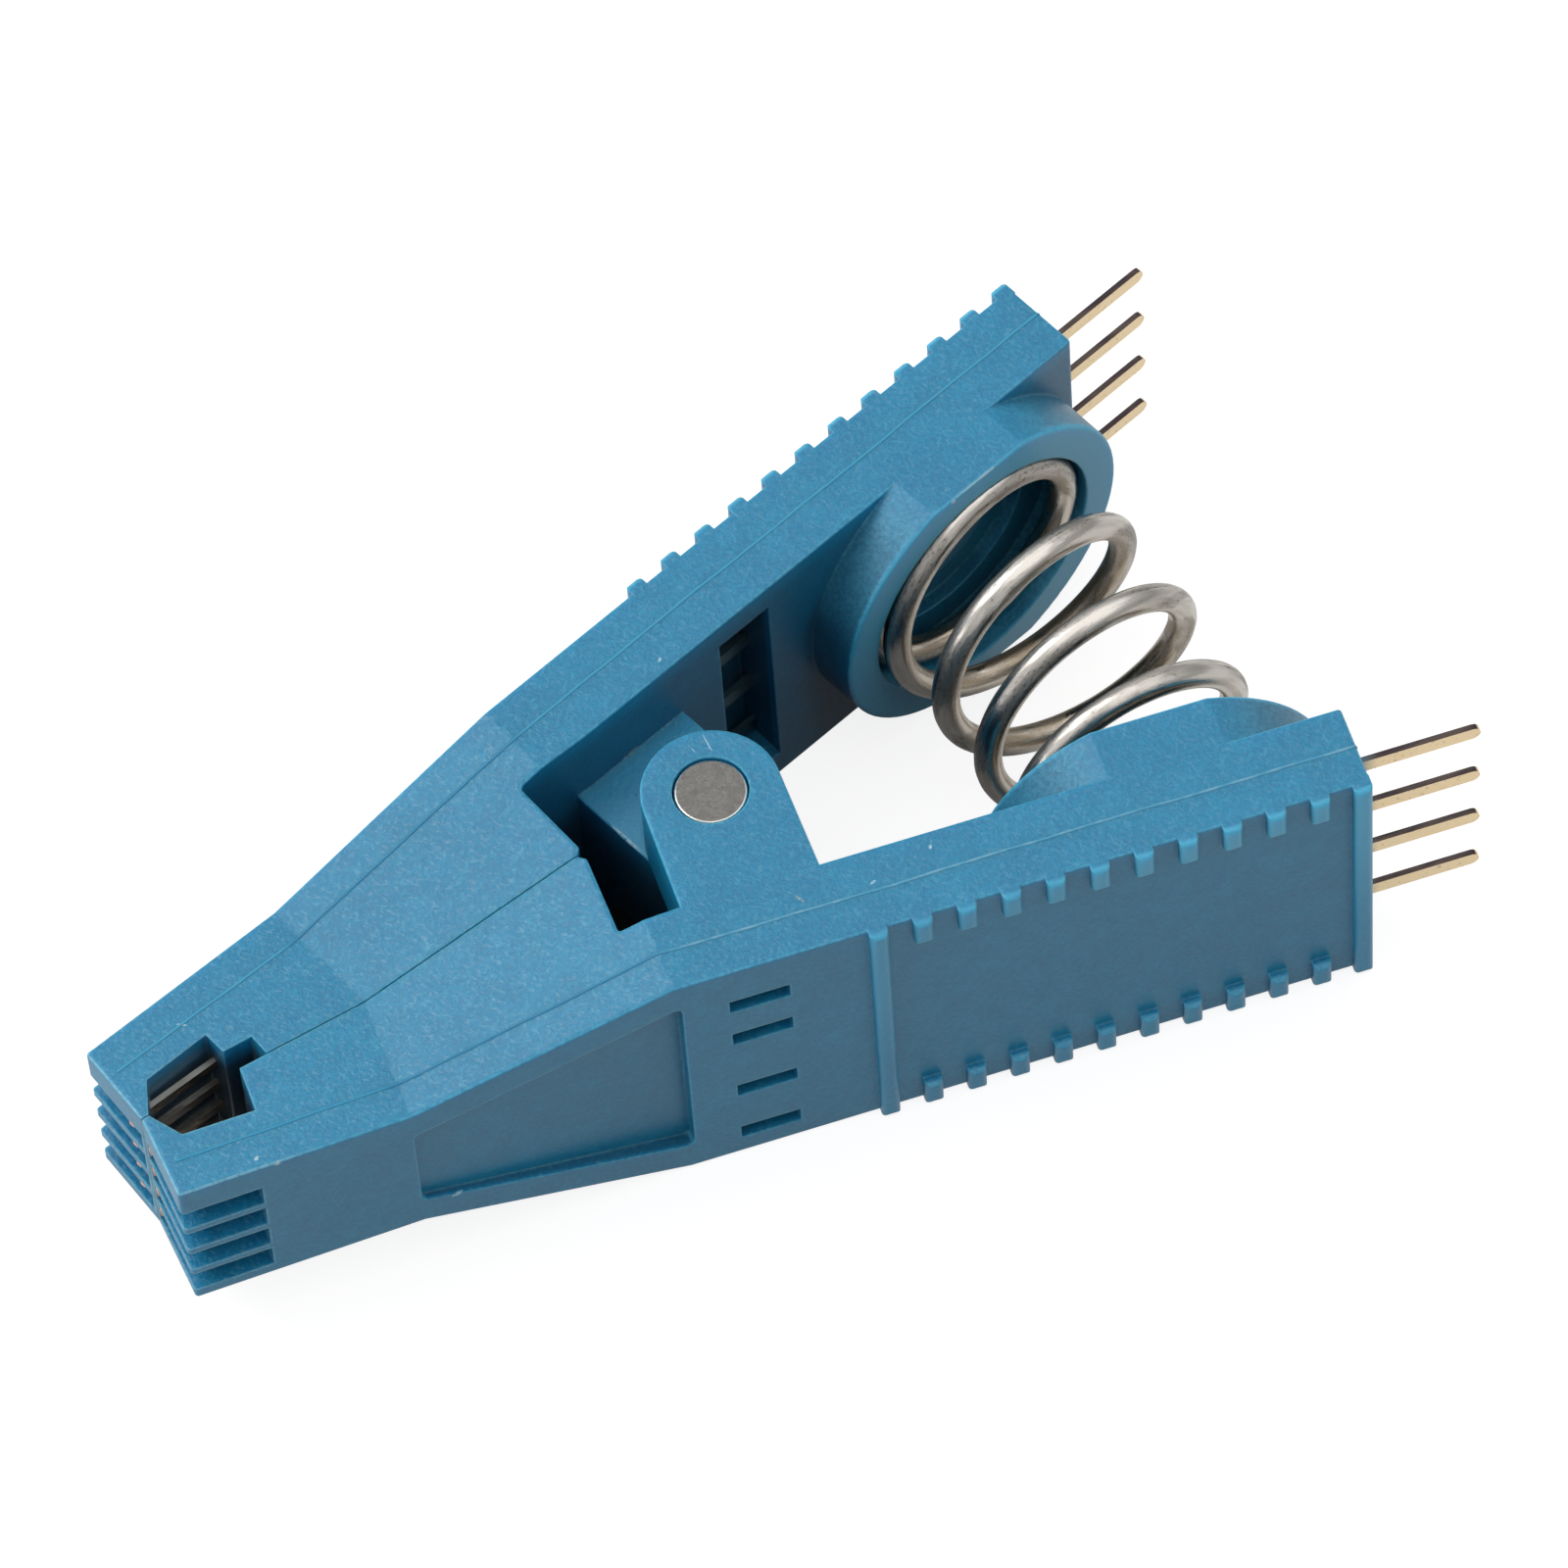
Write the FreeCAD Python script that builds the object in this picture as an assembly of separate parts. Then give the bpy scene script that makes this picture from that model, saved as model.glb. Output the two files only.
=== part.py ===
"""Test clip for eight-lead small-outline chips: two sprung arms on a hinge pin, four contact strips in each.

The clip lies on its flat side. X runs from the jaw tips to the tail pins, Y across the two arms and Z along
the hinge pin. The clevis arm (two hinge ears) is on the -Y side, the tongue arm (one lug) on the +Y side.
Both arms are modelled on the +Y side of the closing plane, and the clevis arm is then mirrored across it.
The origin is the centre of the footprint, on the face that the clip lies on.
"""
import FreeCAD, Part

import math
import os

# Arm outline, seen along the hinge pin
SPREAD_ANGLE = 12.6          # each tail leans out from the closing plane by this many degrees
TAIL_LENGTH = 19.62          # hinge to tail end, along the tail
TAIL_OUTER = 6.8             # hinge line to the outer face of the tail
ARM_THICKNESS = 2.85         # outer face to inner face, along the tail
KNEE_DISTANCE = 3.2          # hinge to the knee between tail and jaw, along the tail
JAW_REAR_DISTANCE = 4.15     # hinge to the rear face of the jaw block, along the tail
JAW_REAR_DRAFT = 0.15        # the rear face leans away from the hinge by this much at the closing plane
JAW_REAR_BEVEL = 0.22        # eased corner between the rear face and the jaw face
JAW_REAR_RELIEF = 0.14       # the arm's inner face dips by this much at the foot of the rear face
RELIEF_END = -1.5            # where the dip ends, along the tail, inside the root of the ears and the lug
TIP_DISTANCE = 20.77         # hinge to the outer corner of the tip
TIP_HALF_WIDTH = 3.0         # closing plane to the outer corner of the tip
TIP_SETBACK = 0.34           # the tip's end face leans back by this much at the closing plane
JAW_GAP = 0.025              # each jaw face stands back from the closing plane by this much
# Arm height, along the hinge pin
TAIL_HEIGHT = 11.1
TIP_HEIGHT = 6.56
TAPER_LENGTH = 8.8           # length over which the height falls from tail to tip
EDGE_ROUND = 0.13            # small moulded radius on the outline's edges
# Hinge
PIN_DIAMETER = 2.34
PIN_OFFSET = 0.3             # the pin's axis lies this far on the clevis side of the closing plane
PIN_RECESS = 0.06            # pin ends below the ears' faces
PIN_EDGE_ROUND = 0.1
EAR_BORE_CLEARANCE = 0.05    # radial
LUG_BORE_CLEARANCE = 0.06    # radial
EAR_RADIUS = 2.24            # round end of each ear
EAR_DISTANCE = 0.08          # hinge to the round end's centre, along the tail
EAR_ROOT_FRONT = -2.12       # the ear's root, along the tail from the hinge
EAR_ROOT_REAR = 2.48
LUG_RADIUS = 2.28
LUG_DISTANCE = 0.22
LUG_HEIGHT = 5.0
HINGE_ROOT_DEPTH = 0.7       # the ears and the lug reach this far into the arm
EAR_LUG_CLEARANCE = 0.1      # between the lug and each ear, along the pin
HINGE_EDGE_ROUND = 0.1
# Spring and its cups
SPRING_DISTANCE = 13.85      # hinge to the cups' centres, along the tail
COIL_DIAMETER = 8.96         # outside the coil
WIRE_DIAMETER = 0.92
SPRING_TURNS = 5.5
CLOSED_TURNS = 0.51          # closed turns at each end of the spring
RUN_IN_TURNS = 0.62          # turns over which the pitch opens from closed to active
SPRING_END_GAP = 0.08        # wire to the seat at each end
SPRING_START_ANGLE = 121.7   # where the wire starts in the tongue arm's cup, from +X towards +Z
SPRING_SIDE_PLAY = 0.07      # the spring sits this much to the tail side of its cups
CUP_CLEARANCE = 0.15         # coil to cup wall, radial
CUP_WALL = 1.25
CUP_STANDING_HEIGHT = 1.76   # the cup's rim above the arm's inner face
CUP_SEAT_DEPTH = 1.85        # rim to the seat that the coil rests on
CUP_WELL_DIAMETER = 6.9
CUP_WELL_DEPTH = 0.5         # seat to the well's floor
CUP_SPIGOT_DIAMETER = 4.2    # low round boss on the well's floor
CUP_SPIGOT_HEIGHT = 0.25
CUP_OVERHANG_DEPTH = 0.9     # where the cup passes the tail's end, its depth behind the inner face
CUP_RIM_ROUND = 0.12
# Grip on the outer face of the tail
RIB_WIDTH = 0.62
RIB_HEIGHT = 0.36
RIB_ROUND = 0.24
RIB_PITCH = 1.45
FRONT_RIB_DISTANCE = 3.41    # hinge to the middle of the front rib
BUMP_LENGTH = 1.2            # length of each short bump, down from the arm's edge
# Panel sunk in the outer face of the jaw, between tip and tail height
PANEL_MARGIN = 1.27          # panel's edge to the arm's edge
PANEL_DEPTH_FRONT = 0.28
PANEL_DEPTH_REAR = 0.5
PANEL_CORNER_ROUND = 0.25
PANEL_PAST_KNEE = 0.2        # the panel's rear edge lies this far behind the knee
# Vents in the outer face, where the mould held the contacts
VENT_FRONT = -1.48           # along the tail from the hinge
VENT_REAR = 0.5
VENT_HEIGHT = 0.68
VENT_LEVELS = (3.43, 1.45, -1.73, -4.34)
VENT_FLOOR_ABOVE_CONTACT = 0.22
# Window in the inner face, which shows the contacts
WINDOW_FRONT = 4.17          # along the tail from the hinge
WINDOW_LENGTH = 2.13
WINDOW_MARGIN = 1.15         # window's end to the arm's edge
WINDOW_BEYOND_CONTACT = 0.35
# Chip pocket between the jaws
POCKET_FRONT = 20.17         # hinge to the pocket's front, at the closing plane
POCKET_FRONT_SHOULDER = 19.6
POCKET_REAR = 16.93          # hinge to the pocket's rear, at the closing plane
POCKET_REAR_SHOULDER = 17.25
POCKET_FRONT_DEPTH = 1.15
POCKET_REAR_DEPTH = 1.6
NOTCH_LENGTH = 0.98          # relief behind the pocket, in the tongue arm alone
NOTCH_DEPTH = 0.78
NOTCH_DRAFT = 0.12           # lean of the notch's rear face
# Comb of slots at the tip
COMB_LENGTH = 2.65
COMB_DEPTH_FRONT = 0.5
COMB_DEPTH_REAR = 1.35
COMB_SLOT_HEIGHT = 1.0
COMB_DROP = 0.36             # the comb sits this much below the arm's middle
GROOVE_DEPTH = 0.42          # slots' depth in the tip's end face
LIP_THICKNESS = 0.16         # wall left between each slot and the closing plane
# Contacts
LEAD_PITCH = 1.27            # at the jaw tip, the pitch of the chip's leads
PIN_PITCH = 2.54             # at the tail, the pitch of header sockets
CONTACT_COUNT = 4
STRIP_THICKNESS = 0.2
STRIP_HEIGHT = 0.56
STRIP_TIP_HEIGHT = 0.4
STRIP_FROM_OUTER = 1.65      # outer face to the middle of the strip, along the tail
TAIL_PIN_LENGTH = 4.2
STRIP_TIP_DISTANCE = 20.47   # hinge to the contact's end
CLEVIS_STRIP_TIP = 0.36      # closing plane to the strip's middle at the tip
CLEVIS_STRIP_RISE = 0.78     # how far the strip leans out across the pocket
TONGUE_STRIP_TIP = 0.82
TONGUE_STRIP_RISE = 0.5
# Working values
CUT_MARGIN = 1.0             # how far a cutting shape runs past the face that it opens
SAME_PLACE = 0.01            # positions closer than this count as one

# Sizes that follow from the ones above
tail_half = TAIL_HEIGHT / 2
tip_half = TIP_HEIGHT / 2
tail_inner = TAIL_OUTER - ARM_THICKNESS
strip_line = TAIL_OUTER - STRIP_FROM_OUTER
rim_line = tail_inner - CUP_STANDING_HEIGHT
seat_line = rim_line + CUP_SEAT_DEPTH
cup_bore_radius = COIL_DIAMETER / 2 + CUP_CLEARANCE
cup_radius = cup_bore_radius + CUP_WALL
coil_radius = (COIL_DIAMETER - WIRE_DIAMETER) / 2
pin_radius = PIN_DIAMETER / 2
ear_inner = LUG_HEIGHT / 2 + EAR_LUG_CLEARANCE
far_out = TIP_DISTANCE + TAIL_LENGTH   # beyond every face, for cutting tools


class Stretch:
    """A straight stretch of arm: along runs towards the tail, out runs away from the closing plane."""

    def __init__(self, start, degrees):
        turn = math.radians(degrees)
        self.start = start
        self.along = FreeCAD.Vector(math.cos(turn), math.sin(turn), 0)
        self.out = FreeCAD.Vector(-math.sin(turn), math.cos(turn), 0)

    def point(self, along, out, z=0.0):
        return self.start + self.along * along + self.out * out + FreeCAD.Vector(0, 0, z)

    def measure(self, point):
        """How far along the stretch a point lies, and how far out."""
        step = point - self.start
        return step.dot(self.along), step.dot(self.out)

    def plan(self, outline, low, high):
        """Solid from an outline of (along, out) points, between two heights."""
        return prism([self.point(a, o, low) for a, o in outline], FreeCAD.Vector(0, 0, high - low))

    def side(self, outline, inner, outer):
        """Solid from an outline of (along, z) points, between two distances out."""
        return prism([self.point(a, inner, z) for a, z in outline], self.out * (outer - inner))

    def block(self, along, out, height):
        """Box given by its two ends in each direction."""
        corners = [(along[0], out[0]), (along[1], out[0]), (along[1], out[1]), (along[0], out[1])]
        return self.plan(corners, height[0], height[1])

    def drum(self, along, radius, inner, outer):
        """Round solid whose axis points out."""
        return Part.makeCylinder(radius, outer - inner, self.point(along, inner), self.out)


def prism(points, direction):
    """Solid from a closed outline of corner points, pushed along a direction."""
    return Part.Face(Part.makePolygon(points + points[:1])).extrude(direction)


def vertical(radius, low, high, centre):
    """Upright round solid."""
    return Part.makeCylinder(radius, high - low, FreeCAD.Vector(centre.x, centre.y, low))


def comb_levels(pitch):
    """Heights of the four lanes, from the top one down."""
    return [pitch * ((CONTACT_COUNT - 1) / 2 - lane) for lane in range(CONTACT_COUNT)]


def rounded(solid, radius, wanted):
    """Round the edges that the test picks out by their two ends."""
    picked = [edge for edge in solid.Edges if wanted([vertex.Point for vertex in edge.Vertexes])]
    return solid.makeFillet(radius, picked)


tail = Stretch(FreeCAD.Vector(0, 0, 0), SPREAD_ANGLE)
tip_corner = FreeCAD.Vector(-TIP_DISTANCE, TIP_HALF_WIDTH, 0)
knee = tail.point(-KNEE_DISTANCE, TAIL_OUTER)
jaw_angle = math.degrees(math.atan2(knee.y - tip_corner.y, knee.x - tip_corner.x))
jaw_length = (knee - tip_corner).Length
jaw = Stretch(tip_corner, jaw_angle)


def closing_point(along):
    """Where a line square to the tail, this far along it, meets the jaw face."""
    out = (JAW_GAP - tail.along.y * along) / tail.out.y
    return tail.point(along, out)


def arm_outline():
    """Corners of the arm seen along the hinge pin."""
    rear_corner = tail.point(-JAW_REAR_DISTANCE, tail_inner + JAW_REAR_RELIEF)
    closing_corner = closing_point(-JAW_REAR_DISTANCE - JAW_REAR_DRAFT)
    up_the_rear = (rear_corner - closing_corner).normalize() * JAW_REAR_BEVEL
    return [
        tip_corner,
        knee,
        tail.point(TAIL_LENGTH, TAIL_OUTER),
        tail.point(TAIL_LENGTH, tail_inner),
        tail.point(RELIEF_END, tail_inner),
        rear_corner,
        closing_corner + up_the_rear,
        closing_corner - FreeCAD.Vector(JAW_REAR_BEVEL, 0, 0),
        FreeCAD.Vector(TIP_SETBACK - TIP_DISTANCE, JAW_GAP, 0),
    ]


def arm_blank():
    """The arm's outline, cut to its falling height between knee and tip, with its edges eased."""
    low = FreeCAD.Vector(0, 0, -tail_half)
    slab = prism([corner + low for corner in arm_outline()], FreeCAD.Vector(0, 0, TAIL_HEIGHT))
    taper_start = jaw_length - TAPER_LENGTH
    upper = [(-far_out, tip_half), (taper_start, tip_half), (jaw_length, tail_half), (2 * far_out, tail_half)]
    lower = [(along, -z) for along, z in reversed(upper)]
    blank = slab.common(jaw.side(upper + lower, -far_out, far_out))
    meeting = JAW_GAP + EDGE_ROUND

    def eased(ends):
        return any(point.y > meeting for point in ends)

    return rounded(blank, EDGE_ROUND, eased)


def spring_cup():
    """Round cup on the inner face, cut flat with the arm's sides. It is returned with its hollow."""
    body = tail.drum(SPRING_DISTANCE, cup_radius, rim_line, strip_line - STRIP_THICKNESS)
    reach = SPRING_DISTANCE + cup_radius + CUT_MARGIN
    body = body.common(tail.block((0, reach), (rim_line, TAIL_OUTER), (-tail_half, tail_half)))
    beyond = (tail_inner + CUP_OVERHANG_DEPTH, far_out)
    body = body.cut(tail.block((TAIL_LENGTH, TAIL_LENGTH + reach), beyond, (-tail_half, tail_half)))

    def on_the_rim(ends):
        return all(tail.measure(point)[1] < rim_line + SAME_PLACE for point in ends)

    body = rounded(body, CUP_RIM_ROUND, on_the_rim)
    well_floor = seat_line + CUP_WELL_DEPTH
    spigot_top = well_floor - CUP_SPIGOT_HEIGHT
    hollow = tail.drum(SPRING_DISTANCE, cup_bore_radius, rim_line - CUT_MARGIN, seat_line)
    well = tail.drum(SPRING_DISTANCE, CUP_WELL_DIAMETER / 2, rim_line, well_floor)
    spigot = tail.drum(SPRING_DISTANCE, CUP_SPIGOT_DIAMETER / 2, spigot_top, well_floor + CUT_MARGIN)
    return body, hollow.fuse(well.cut(spigot))


def grip_ribs():
    """Two full-height ribs, and the short bumps along both edges between them."""
    half = RIB_WIDTH / 2
    root = TAIL_OUTER - 2 * EDGE_ROUND
    crest = TAIL_OUTER + RIB_HEIGHT
    last = TAIL_LENGTH - half
    bump_count = int((last - FRONT_RIB_DISTANCE) / RIB_PITCH)

    def bar(low, high):
        solid = tail.block((-half, half), (root, crest), (low, high))

        def outer_edge(ends):
            return min(tail.measure(point)[1] for point in ends) > TAIL_OUTER

        return rounded(solid, RIB_ROUND, outer_edge)

    rib = bar(-tail_half, tail_half)
    bumps = [bar(tail_half - BUMP_LENGTH, tail_half), bar(-tail_half, BUMP_LENGTH - tail_half)]
    solids = []
    for place in (FRONT_RIB_DISTANCE, last):
        solids.append(rib.translated(tail.along * place))
    for number in range(1, bump_count + 1):
        step = tail.along * (FRONT_RIB_DISTANCE + RIB_PITCH * number)
        solids += [bump.translated(step) for bump in bumps]
    return solids


def sunk_panel():
    """Wedge taken out of the jaw's outer face, deeper towards the knee."""
    front = jaw_length - TAPER_LENGTH
    rear = jaw_length + PANEL_PAST_KNEE
    floor = [(front, CUT_MARGIN), (front, -PANEL_DEPTH_FRONT),
             (rear, -PANEL_DEPTH_REAR), (rear, CUT_MARGIN)]
    wedge = jaw.plan(floor, -tail_half, tail_half)
    front_half = tip_half - PANEL_MARGIN
    rear_half = tail_half - PANEL_MARGIN
    face = [(front, front_half), (rear, rear_half), (rear, -rear_half), (front, -front_half)]
    window = jaw.side(face, -far_out, far_out)

    def corner(ends):
        return abs(jaw.measure(ends[0])[1] - jaw.measure(ends[-1])[1]) > far_out

    return wedge.common(rounded(window, PANEL_CORNER_ROUND, corner))


def vents():
    """Short slots in the outer face over the contacts."""
    floor = strip_line + STRIP_THICKNESS / 2 + VENT_FLOOR_ABOVE_CONTACT
    half = VENT_HEIGHT / 2
    return [tail.block((VENT_FRONT, VENT_REAR), (floor, far_out), (level - half, level + half))
            for level in VENT_LEVELS]


def contact_window():
    """Opening in the inner face that lays the contacts bare."""
    half = tail_half - WINDOW_MARGIN
    length = (WINDOW_FRONT, WINDOW_FRONT + WINDOW_LENGTH)
    depth = (tail_inner - CUT_MARGIN, strip_line + STRIP_THICKNESS / 2 + WINDOW_BEYOND_CONTACT)
    return tail.block(length, depth, (-half, half))


def through_the_jaw(outline):
    """Cutting shape from an outline of (x, y) points, right through the jaw's height."""
    points = [FreeCAD.Vector(x, y, -tip_half - CUT_MARGIN) for x, y in outline]
    return prism(points, FreeCAD.Vector(0, 0, TIP_HEIGHT + 2 * CUT_MARGIN))


def chip_pocket():
    """Half of the pocket that holds the chip's body between its leads."""
    return through_the_jaw([
        (-POCKET_FRONT, 0),
        (-POCKET_FRONT_SHOULDER, POCKET_FRONT_DEPTH),
        (-POCKET_REAR_SHOULDER, POCKET_REAR_DEPTH),
        (-POCKET_REAR, 0),
    ])


def relief_notch():
    """Square relief behind the pocket, in the tongue arm's jaw face."""
    rear = NOTCH_LENGTH - POCKET_REAR
    return through_the_jaw([
        (-POCKET_REAR_SHOULDER, 0),
        (-POCKET_REAR_SHOULDER, NOTCH_DEPTH),
        (rear - NOTCH_DRAFT, NOTCH_DEPTH),
        (rear, 0),
    ])


def tip_comb():
    """Slots in the outer face, deeper to the rear, that turn round the corner into the end face."""
    lip = JAW_GAP + LIP_THICKNESS
    groove_x = TIP_SETBACK - TIP_DISTANCE + GROOVE_DEPTH
    front_x = -TIP_DISTANCE - CUT_MARGIN
    beyond_y = TIP_HALF_WIDTH + CUT_MARGIN
    ramp = [(-CUT_MARGIN, CUT_MARGIN), (-CUT_MARGIN, -COMB_DEPTH_FRONT), (0, -COMB_DEPTH_FRONT),
            (COMB_LENGTH, -COMB_DEPTH_REAR), (COMB_LENGTH, CUT_MARGIN)]
    groove = [(front_x, lip), (groove_x, lip), (groove_x - TIP_SETBACK, beyond_y), (front_x, beyond_y)]
    slots = []
    for level in comb_levels(LEAD_PITCH):
        low = level - COMB_DROP - COMB_SLOT_HEIGHT / 2
        high = level - COMB_DROP + COMB_SLOT_HEIGHT / 2
        end = [FreeCAD.Vector(x, y, low) for x, y in groove]
        slots += [jaw.plan(ramp, low, high), prism(end, FreeCAD.Vector(0, 0, high - low))]
    return slots


def contact_route(tip_offset, rise):
    """Plan points of a strip, from its tip through the pocket and the jaw to the tail pin's end."""
    return [
        FreeCAD.Vector(-STRIP_TIP_DISTANCE, tip_offset, 0),
        FreeCAD.Vector(-POCKET_REAR_SHOULDER, tip_offset + rise, 0),
        tail.point(-KNEE_DISTANCE, strip_line),
        tail.point(TAIL_LENGTH + TAIL_PIN_LENGTH, strip_line),
    ]


def contact(lane, tip_offset, rise):
    """One strip: its plan shape met with its side shape, with a round end on the tail pin."""
    tip_level = comb_levels(LEAD_PITCH)[lane]
    tail_level = comb_levels(PIN_PITCH)[lane]
    route = [tail.measure(point) for point in contact_route(tip_offset, rise)]
    edge = STRIP_THICKNESS / 2
    plan_outline = [(a, o + edge) for a, o in route] + [(a, o - edge) for a, o in reversed(route)]
    plan_shape = tail.plan(plan_outline, -tail_half, tail_half)
    tip_along = route[0][0]
    narrow_along = tail.measure(jaw.point(jaw_length - TAPER_LENGTH, 0))[0]
    wide_along = -KNEE_DISTANCE
    end_along = route[-1][0]
    half_tip = STRIP_TIP_HEIGHT / 2
    half_tail = STRIP_HEIGHT / 2
    round_start = end_along - half_tail
    inner = -2 * TAIL_OUTER

    def spot(along, z):
        return tail.point(along, inner, z)

    corners = [spot(round_start, tail_level + half_tail), spot(wide_along, tail_level + half_tail),
               spot(narrow_along, tip_level + half_tip), spot(tip_along, tip_level + half_tip),
               spot(tip_along, tip_level - half_tip), spot(narrow_along, tip_level - half_tip),
               spot(wide_along, tail_level - half_tail), spot(round_start, tail_level - half_tail)]
    end_arc = Part.Arc(corners[-1], spot(end_along, tail_level), corners[0]).toShape()
    side_wire = Part.Wire(Part.makePolygon(corners).Edges + [end_arc])
    side_shape = Part.Face(side_wire).extrude(tail.out * (2 * far_out))
    return plan_shape.common(side_shape)


def touch_point(centre, radius, foot, side):
    """Where a line from the foot touches a circle, both given as (along, out)."""
    along = foot[0] - centre[0]
    out = foot[1] - centre[1]
    turn = math.atan2(out, along) + side * math.acos(radius / math.hypot(along, out))
    return centre[0] + radius * math.cos(turn), centre[1] + radius * math.sin(turn)


def hinge_plate(centre, radius, root, height):
    """Plate with a round end, whose sides run from the round end to the root in the arm's inner face."""
    front = (root[0], tail_inner + HINGE_ROOT_DEPTH)
    rear = (root[1], tail_inner + HINGE_ROOT_DEPTH)
    sides = [front, touch_point(centre, radius, front, 1), touch_point(centre, radius, rear, -1), rear]
    plate = tail.plan(sides, height[0], height[1])
    round_end = vertical(radius, height[0], height[1], tail.point(centre[0], centre[1]))
    plate = plate.fuse(round_end).removeSplitter()

    def rim_edge(ends):
        level = abs(ends[0].z - ends[-1].z) < SAME_PLACE
        return level and max(tail.measure(point)[1] for point in ends) < tail_inner

    return rounded(plate, HINGE_EDGE_ROUND, rim_edge)


def common_arm():
    """What the two arms share, on the +Y side and without hinge parts or contacts."""
    cup, hollow = spring_cup()
    arm = arm_blank().fuse([cup] + grip_ribs())
    arm = arm.cut([hollow, sunk_panel(), contact_window(), chip_pocket()] + vents() + tip_comb())
    return arm.removeSplitter()


def clevis_arm(contacts):
    """Arm with two ears, built on the +Y side. Its pin lies on its own side of the closing plane."""
    pin = FreeCAD.Vector(0, PIN_OFFSET, 0)
    centre = (EAR_DISTANCE, tail.measure(pin)[1])
    root = (EAR_ROOT_FRONT, EAR_ROOT_REAR)
    ears = [hinge_plate(centre, EAR_RADIUS, root, height)
            for height in ((ear_inner, tail_half), (-tail_half, -ear_inner))]
    bore = vertical(pin_radius + EAR_BORE_CLEARANCE, -TAIL_HEIGHT, TAIL_HEIGHT, pin)
    return common_arm().fuse(ears).cut([bore] + contacts)


def tongue_arm(contacts):
    """Arm with the single lug between the ears."""
    pin = FreeCAD.Vector(0, -PIN_OFFSET, 0)
    centre = (LUG_DISTANCE, tail.measure(pin)[1])
    root = (LUG_DISTANCE - LUG_RADIUS, LUG_DISTANCE + LUG_RADIUS)
    lug = hinge_plate(centre, LUG_RADIUS, root, (-LUG_HEIGHT / 2, LUG_HEIGHT / 2))
    bore = vertical(pin_radius + LUG_BORE_CLEARANCE, -TAIL_HEIGHT, TAIL_HEIGHT, pin)
    return common_arm().cut(relief_notch()).fuse(lug).cut([bore] + contacts)


def hinge_pin():
    """Plain dowel with eased ends, a little below the ears' faces."""
    half = tail_half - PIN_RECESS
    pin = vertical(pin_radius, -half, half, FreeCAD.Vector(0, -PIN_OFFSET, 0))
    return pin.makeFillet(PIN_EDGE_ROUND, [edge for edge in pin.Edges if len(edge.Vertexes) == 1])


def spring_path_point(turn):
    """Centre of the wire after some turns from mid spring, on an axis that bends between the two cups."""
    end_out = seat_line - WIRE_DIAMETER / 2 - SPRING_END_GAP
    end = tail.point(SPRING_DISTANCE, end_out)
    bend_radius = end.y / tail.along.y
    half_length = bend_radius * math.radians(SPREAD_ANGLE)
    active_turns = SPRING_TURNS / 2 - CLOSED_TURNS - RUN_IN_TURNS
    closed_length = WIRE_DIAMETER * (CLOSED_TURNS + RUN_IN_TURNS / 2)
    pitch = (half_length - closed_length) / (active_turns + RUN_IN_TURNS / 2)
    away = abs(turn)
    distance = pitch * min(away, active_turns)
    run = min(max(away - active_turns, 0), RUN_IN_TURNS)
    distance += pitch * run - (pitch - WIRE_DIAMETER) * run * run / (2 * RUN_IN_TURNS)
    distance += WIRE_DIAMETER * max(away - active_turns - RUN_IN_TURNS, 0)
    lean = math.copysign(distance / bend_radius, turn)
    centre_x = end.x - bend_radius * tail.out.y
    radial = FreeCAD.Vector(math.cos(lean), math.sin(lean), 0)
    centre = FreeCAD.Vector(centre_x + SPRING_SIDE_PLAY, 0, 0) + radial * bend_radius
    angle = math.radians(SPRING_START_ANGLE) + 2 * math.pi * (SPRING_TURNS / 2 - turn)
    upward = FreeCAD.Vector(0, 0, coil_radius * math.sin(angle))
    return centre + radial * (coil_radius * math.cos(angle)) + upward


def coil_spring():
    """Compression spring with closed ends, swept along its wire."""
    points_per_turn = 12
    count = int(round(SPRING_TURNS * points_per_turn))
    points = [spring_path_point(SPRING_TURNS / 2 - SPRING_TURNS * step / count) for step in range(count + 1)]
    curve = Part.BSplineCurve()
    curve.interpolate(points)
    start = curve.value(curve.FirstParameter)
    heading = curve.tangent(curve.FirstParameter)[0]
    section = Part.Wire(Part.makeCircle(WIRE_DIAMETER / 2, start, heading))
    return Part.Wire(curve.toShape()).makePipeShell([section], True, True)


def mirrored(shape):
    """The same shape on the other side of the closing plane."""
    return shape.mirror(FreeCAD.Vector(0, 0, 0), FreeCAD.Vector(0, 1, 0))


def build():
    """Every node by name, in the clip's own frame."""
    lanes = range(CONTACT_COUNT)
    clevis_contacts = [contact(lane, CLEVIS_STRIP_TIP, CLEVIS_STRIP_RISE) for lane in lanes]
    tongue_contacts = [contact(lane, TONGUE_STRIP_TIP, TONGUE_STRIP_RISE) for lane in lanes]
    nodes = {
        "clevis_arm": mirrored(clevis_arm(clevis_contacts)),
        "tongue_arm": tongue_arm(tongue_contacts),
        "hinge_pin": hinge_pin(),
        "coil_spring": coil_spring(),
    }
    for lane in lanes:
        nodes["clevis_contact_%d" % (lane + 1)] = mirrored(clevis_contacts[lane])
        nodes["tongue_contact_%d" % (lane + 1)] = tongue_contacts[lane]
    pin_end = tail.point(TAIL_LENGTH + TAIL_PIN_LENGTH, strip_line - STRIP_THICKNESS / 2)
    middle = (pin_end.x - TIP_DISTANCE) / 2
    shift = FreeCAD.Vector(-middle, 0, tail_half)
    return {name: shape.translated(shift) for name, shape in nodes.items()}


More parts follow.
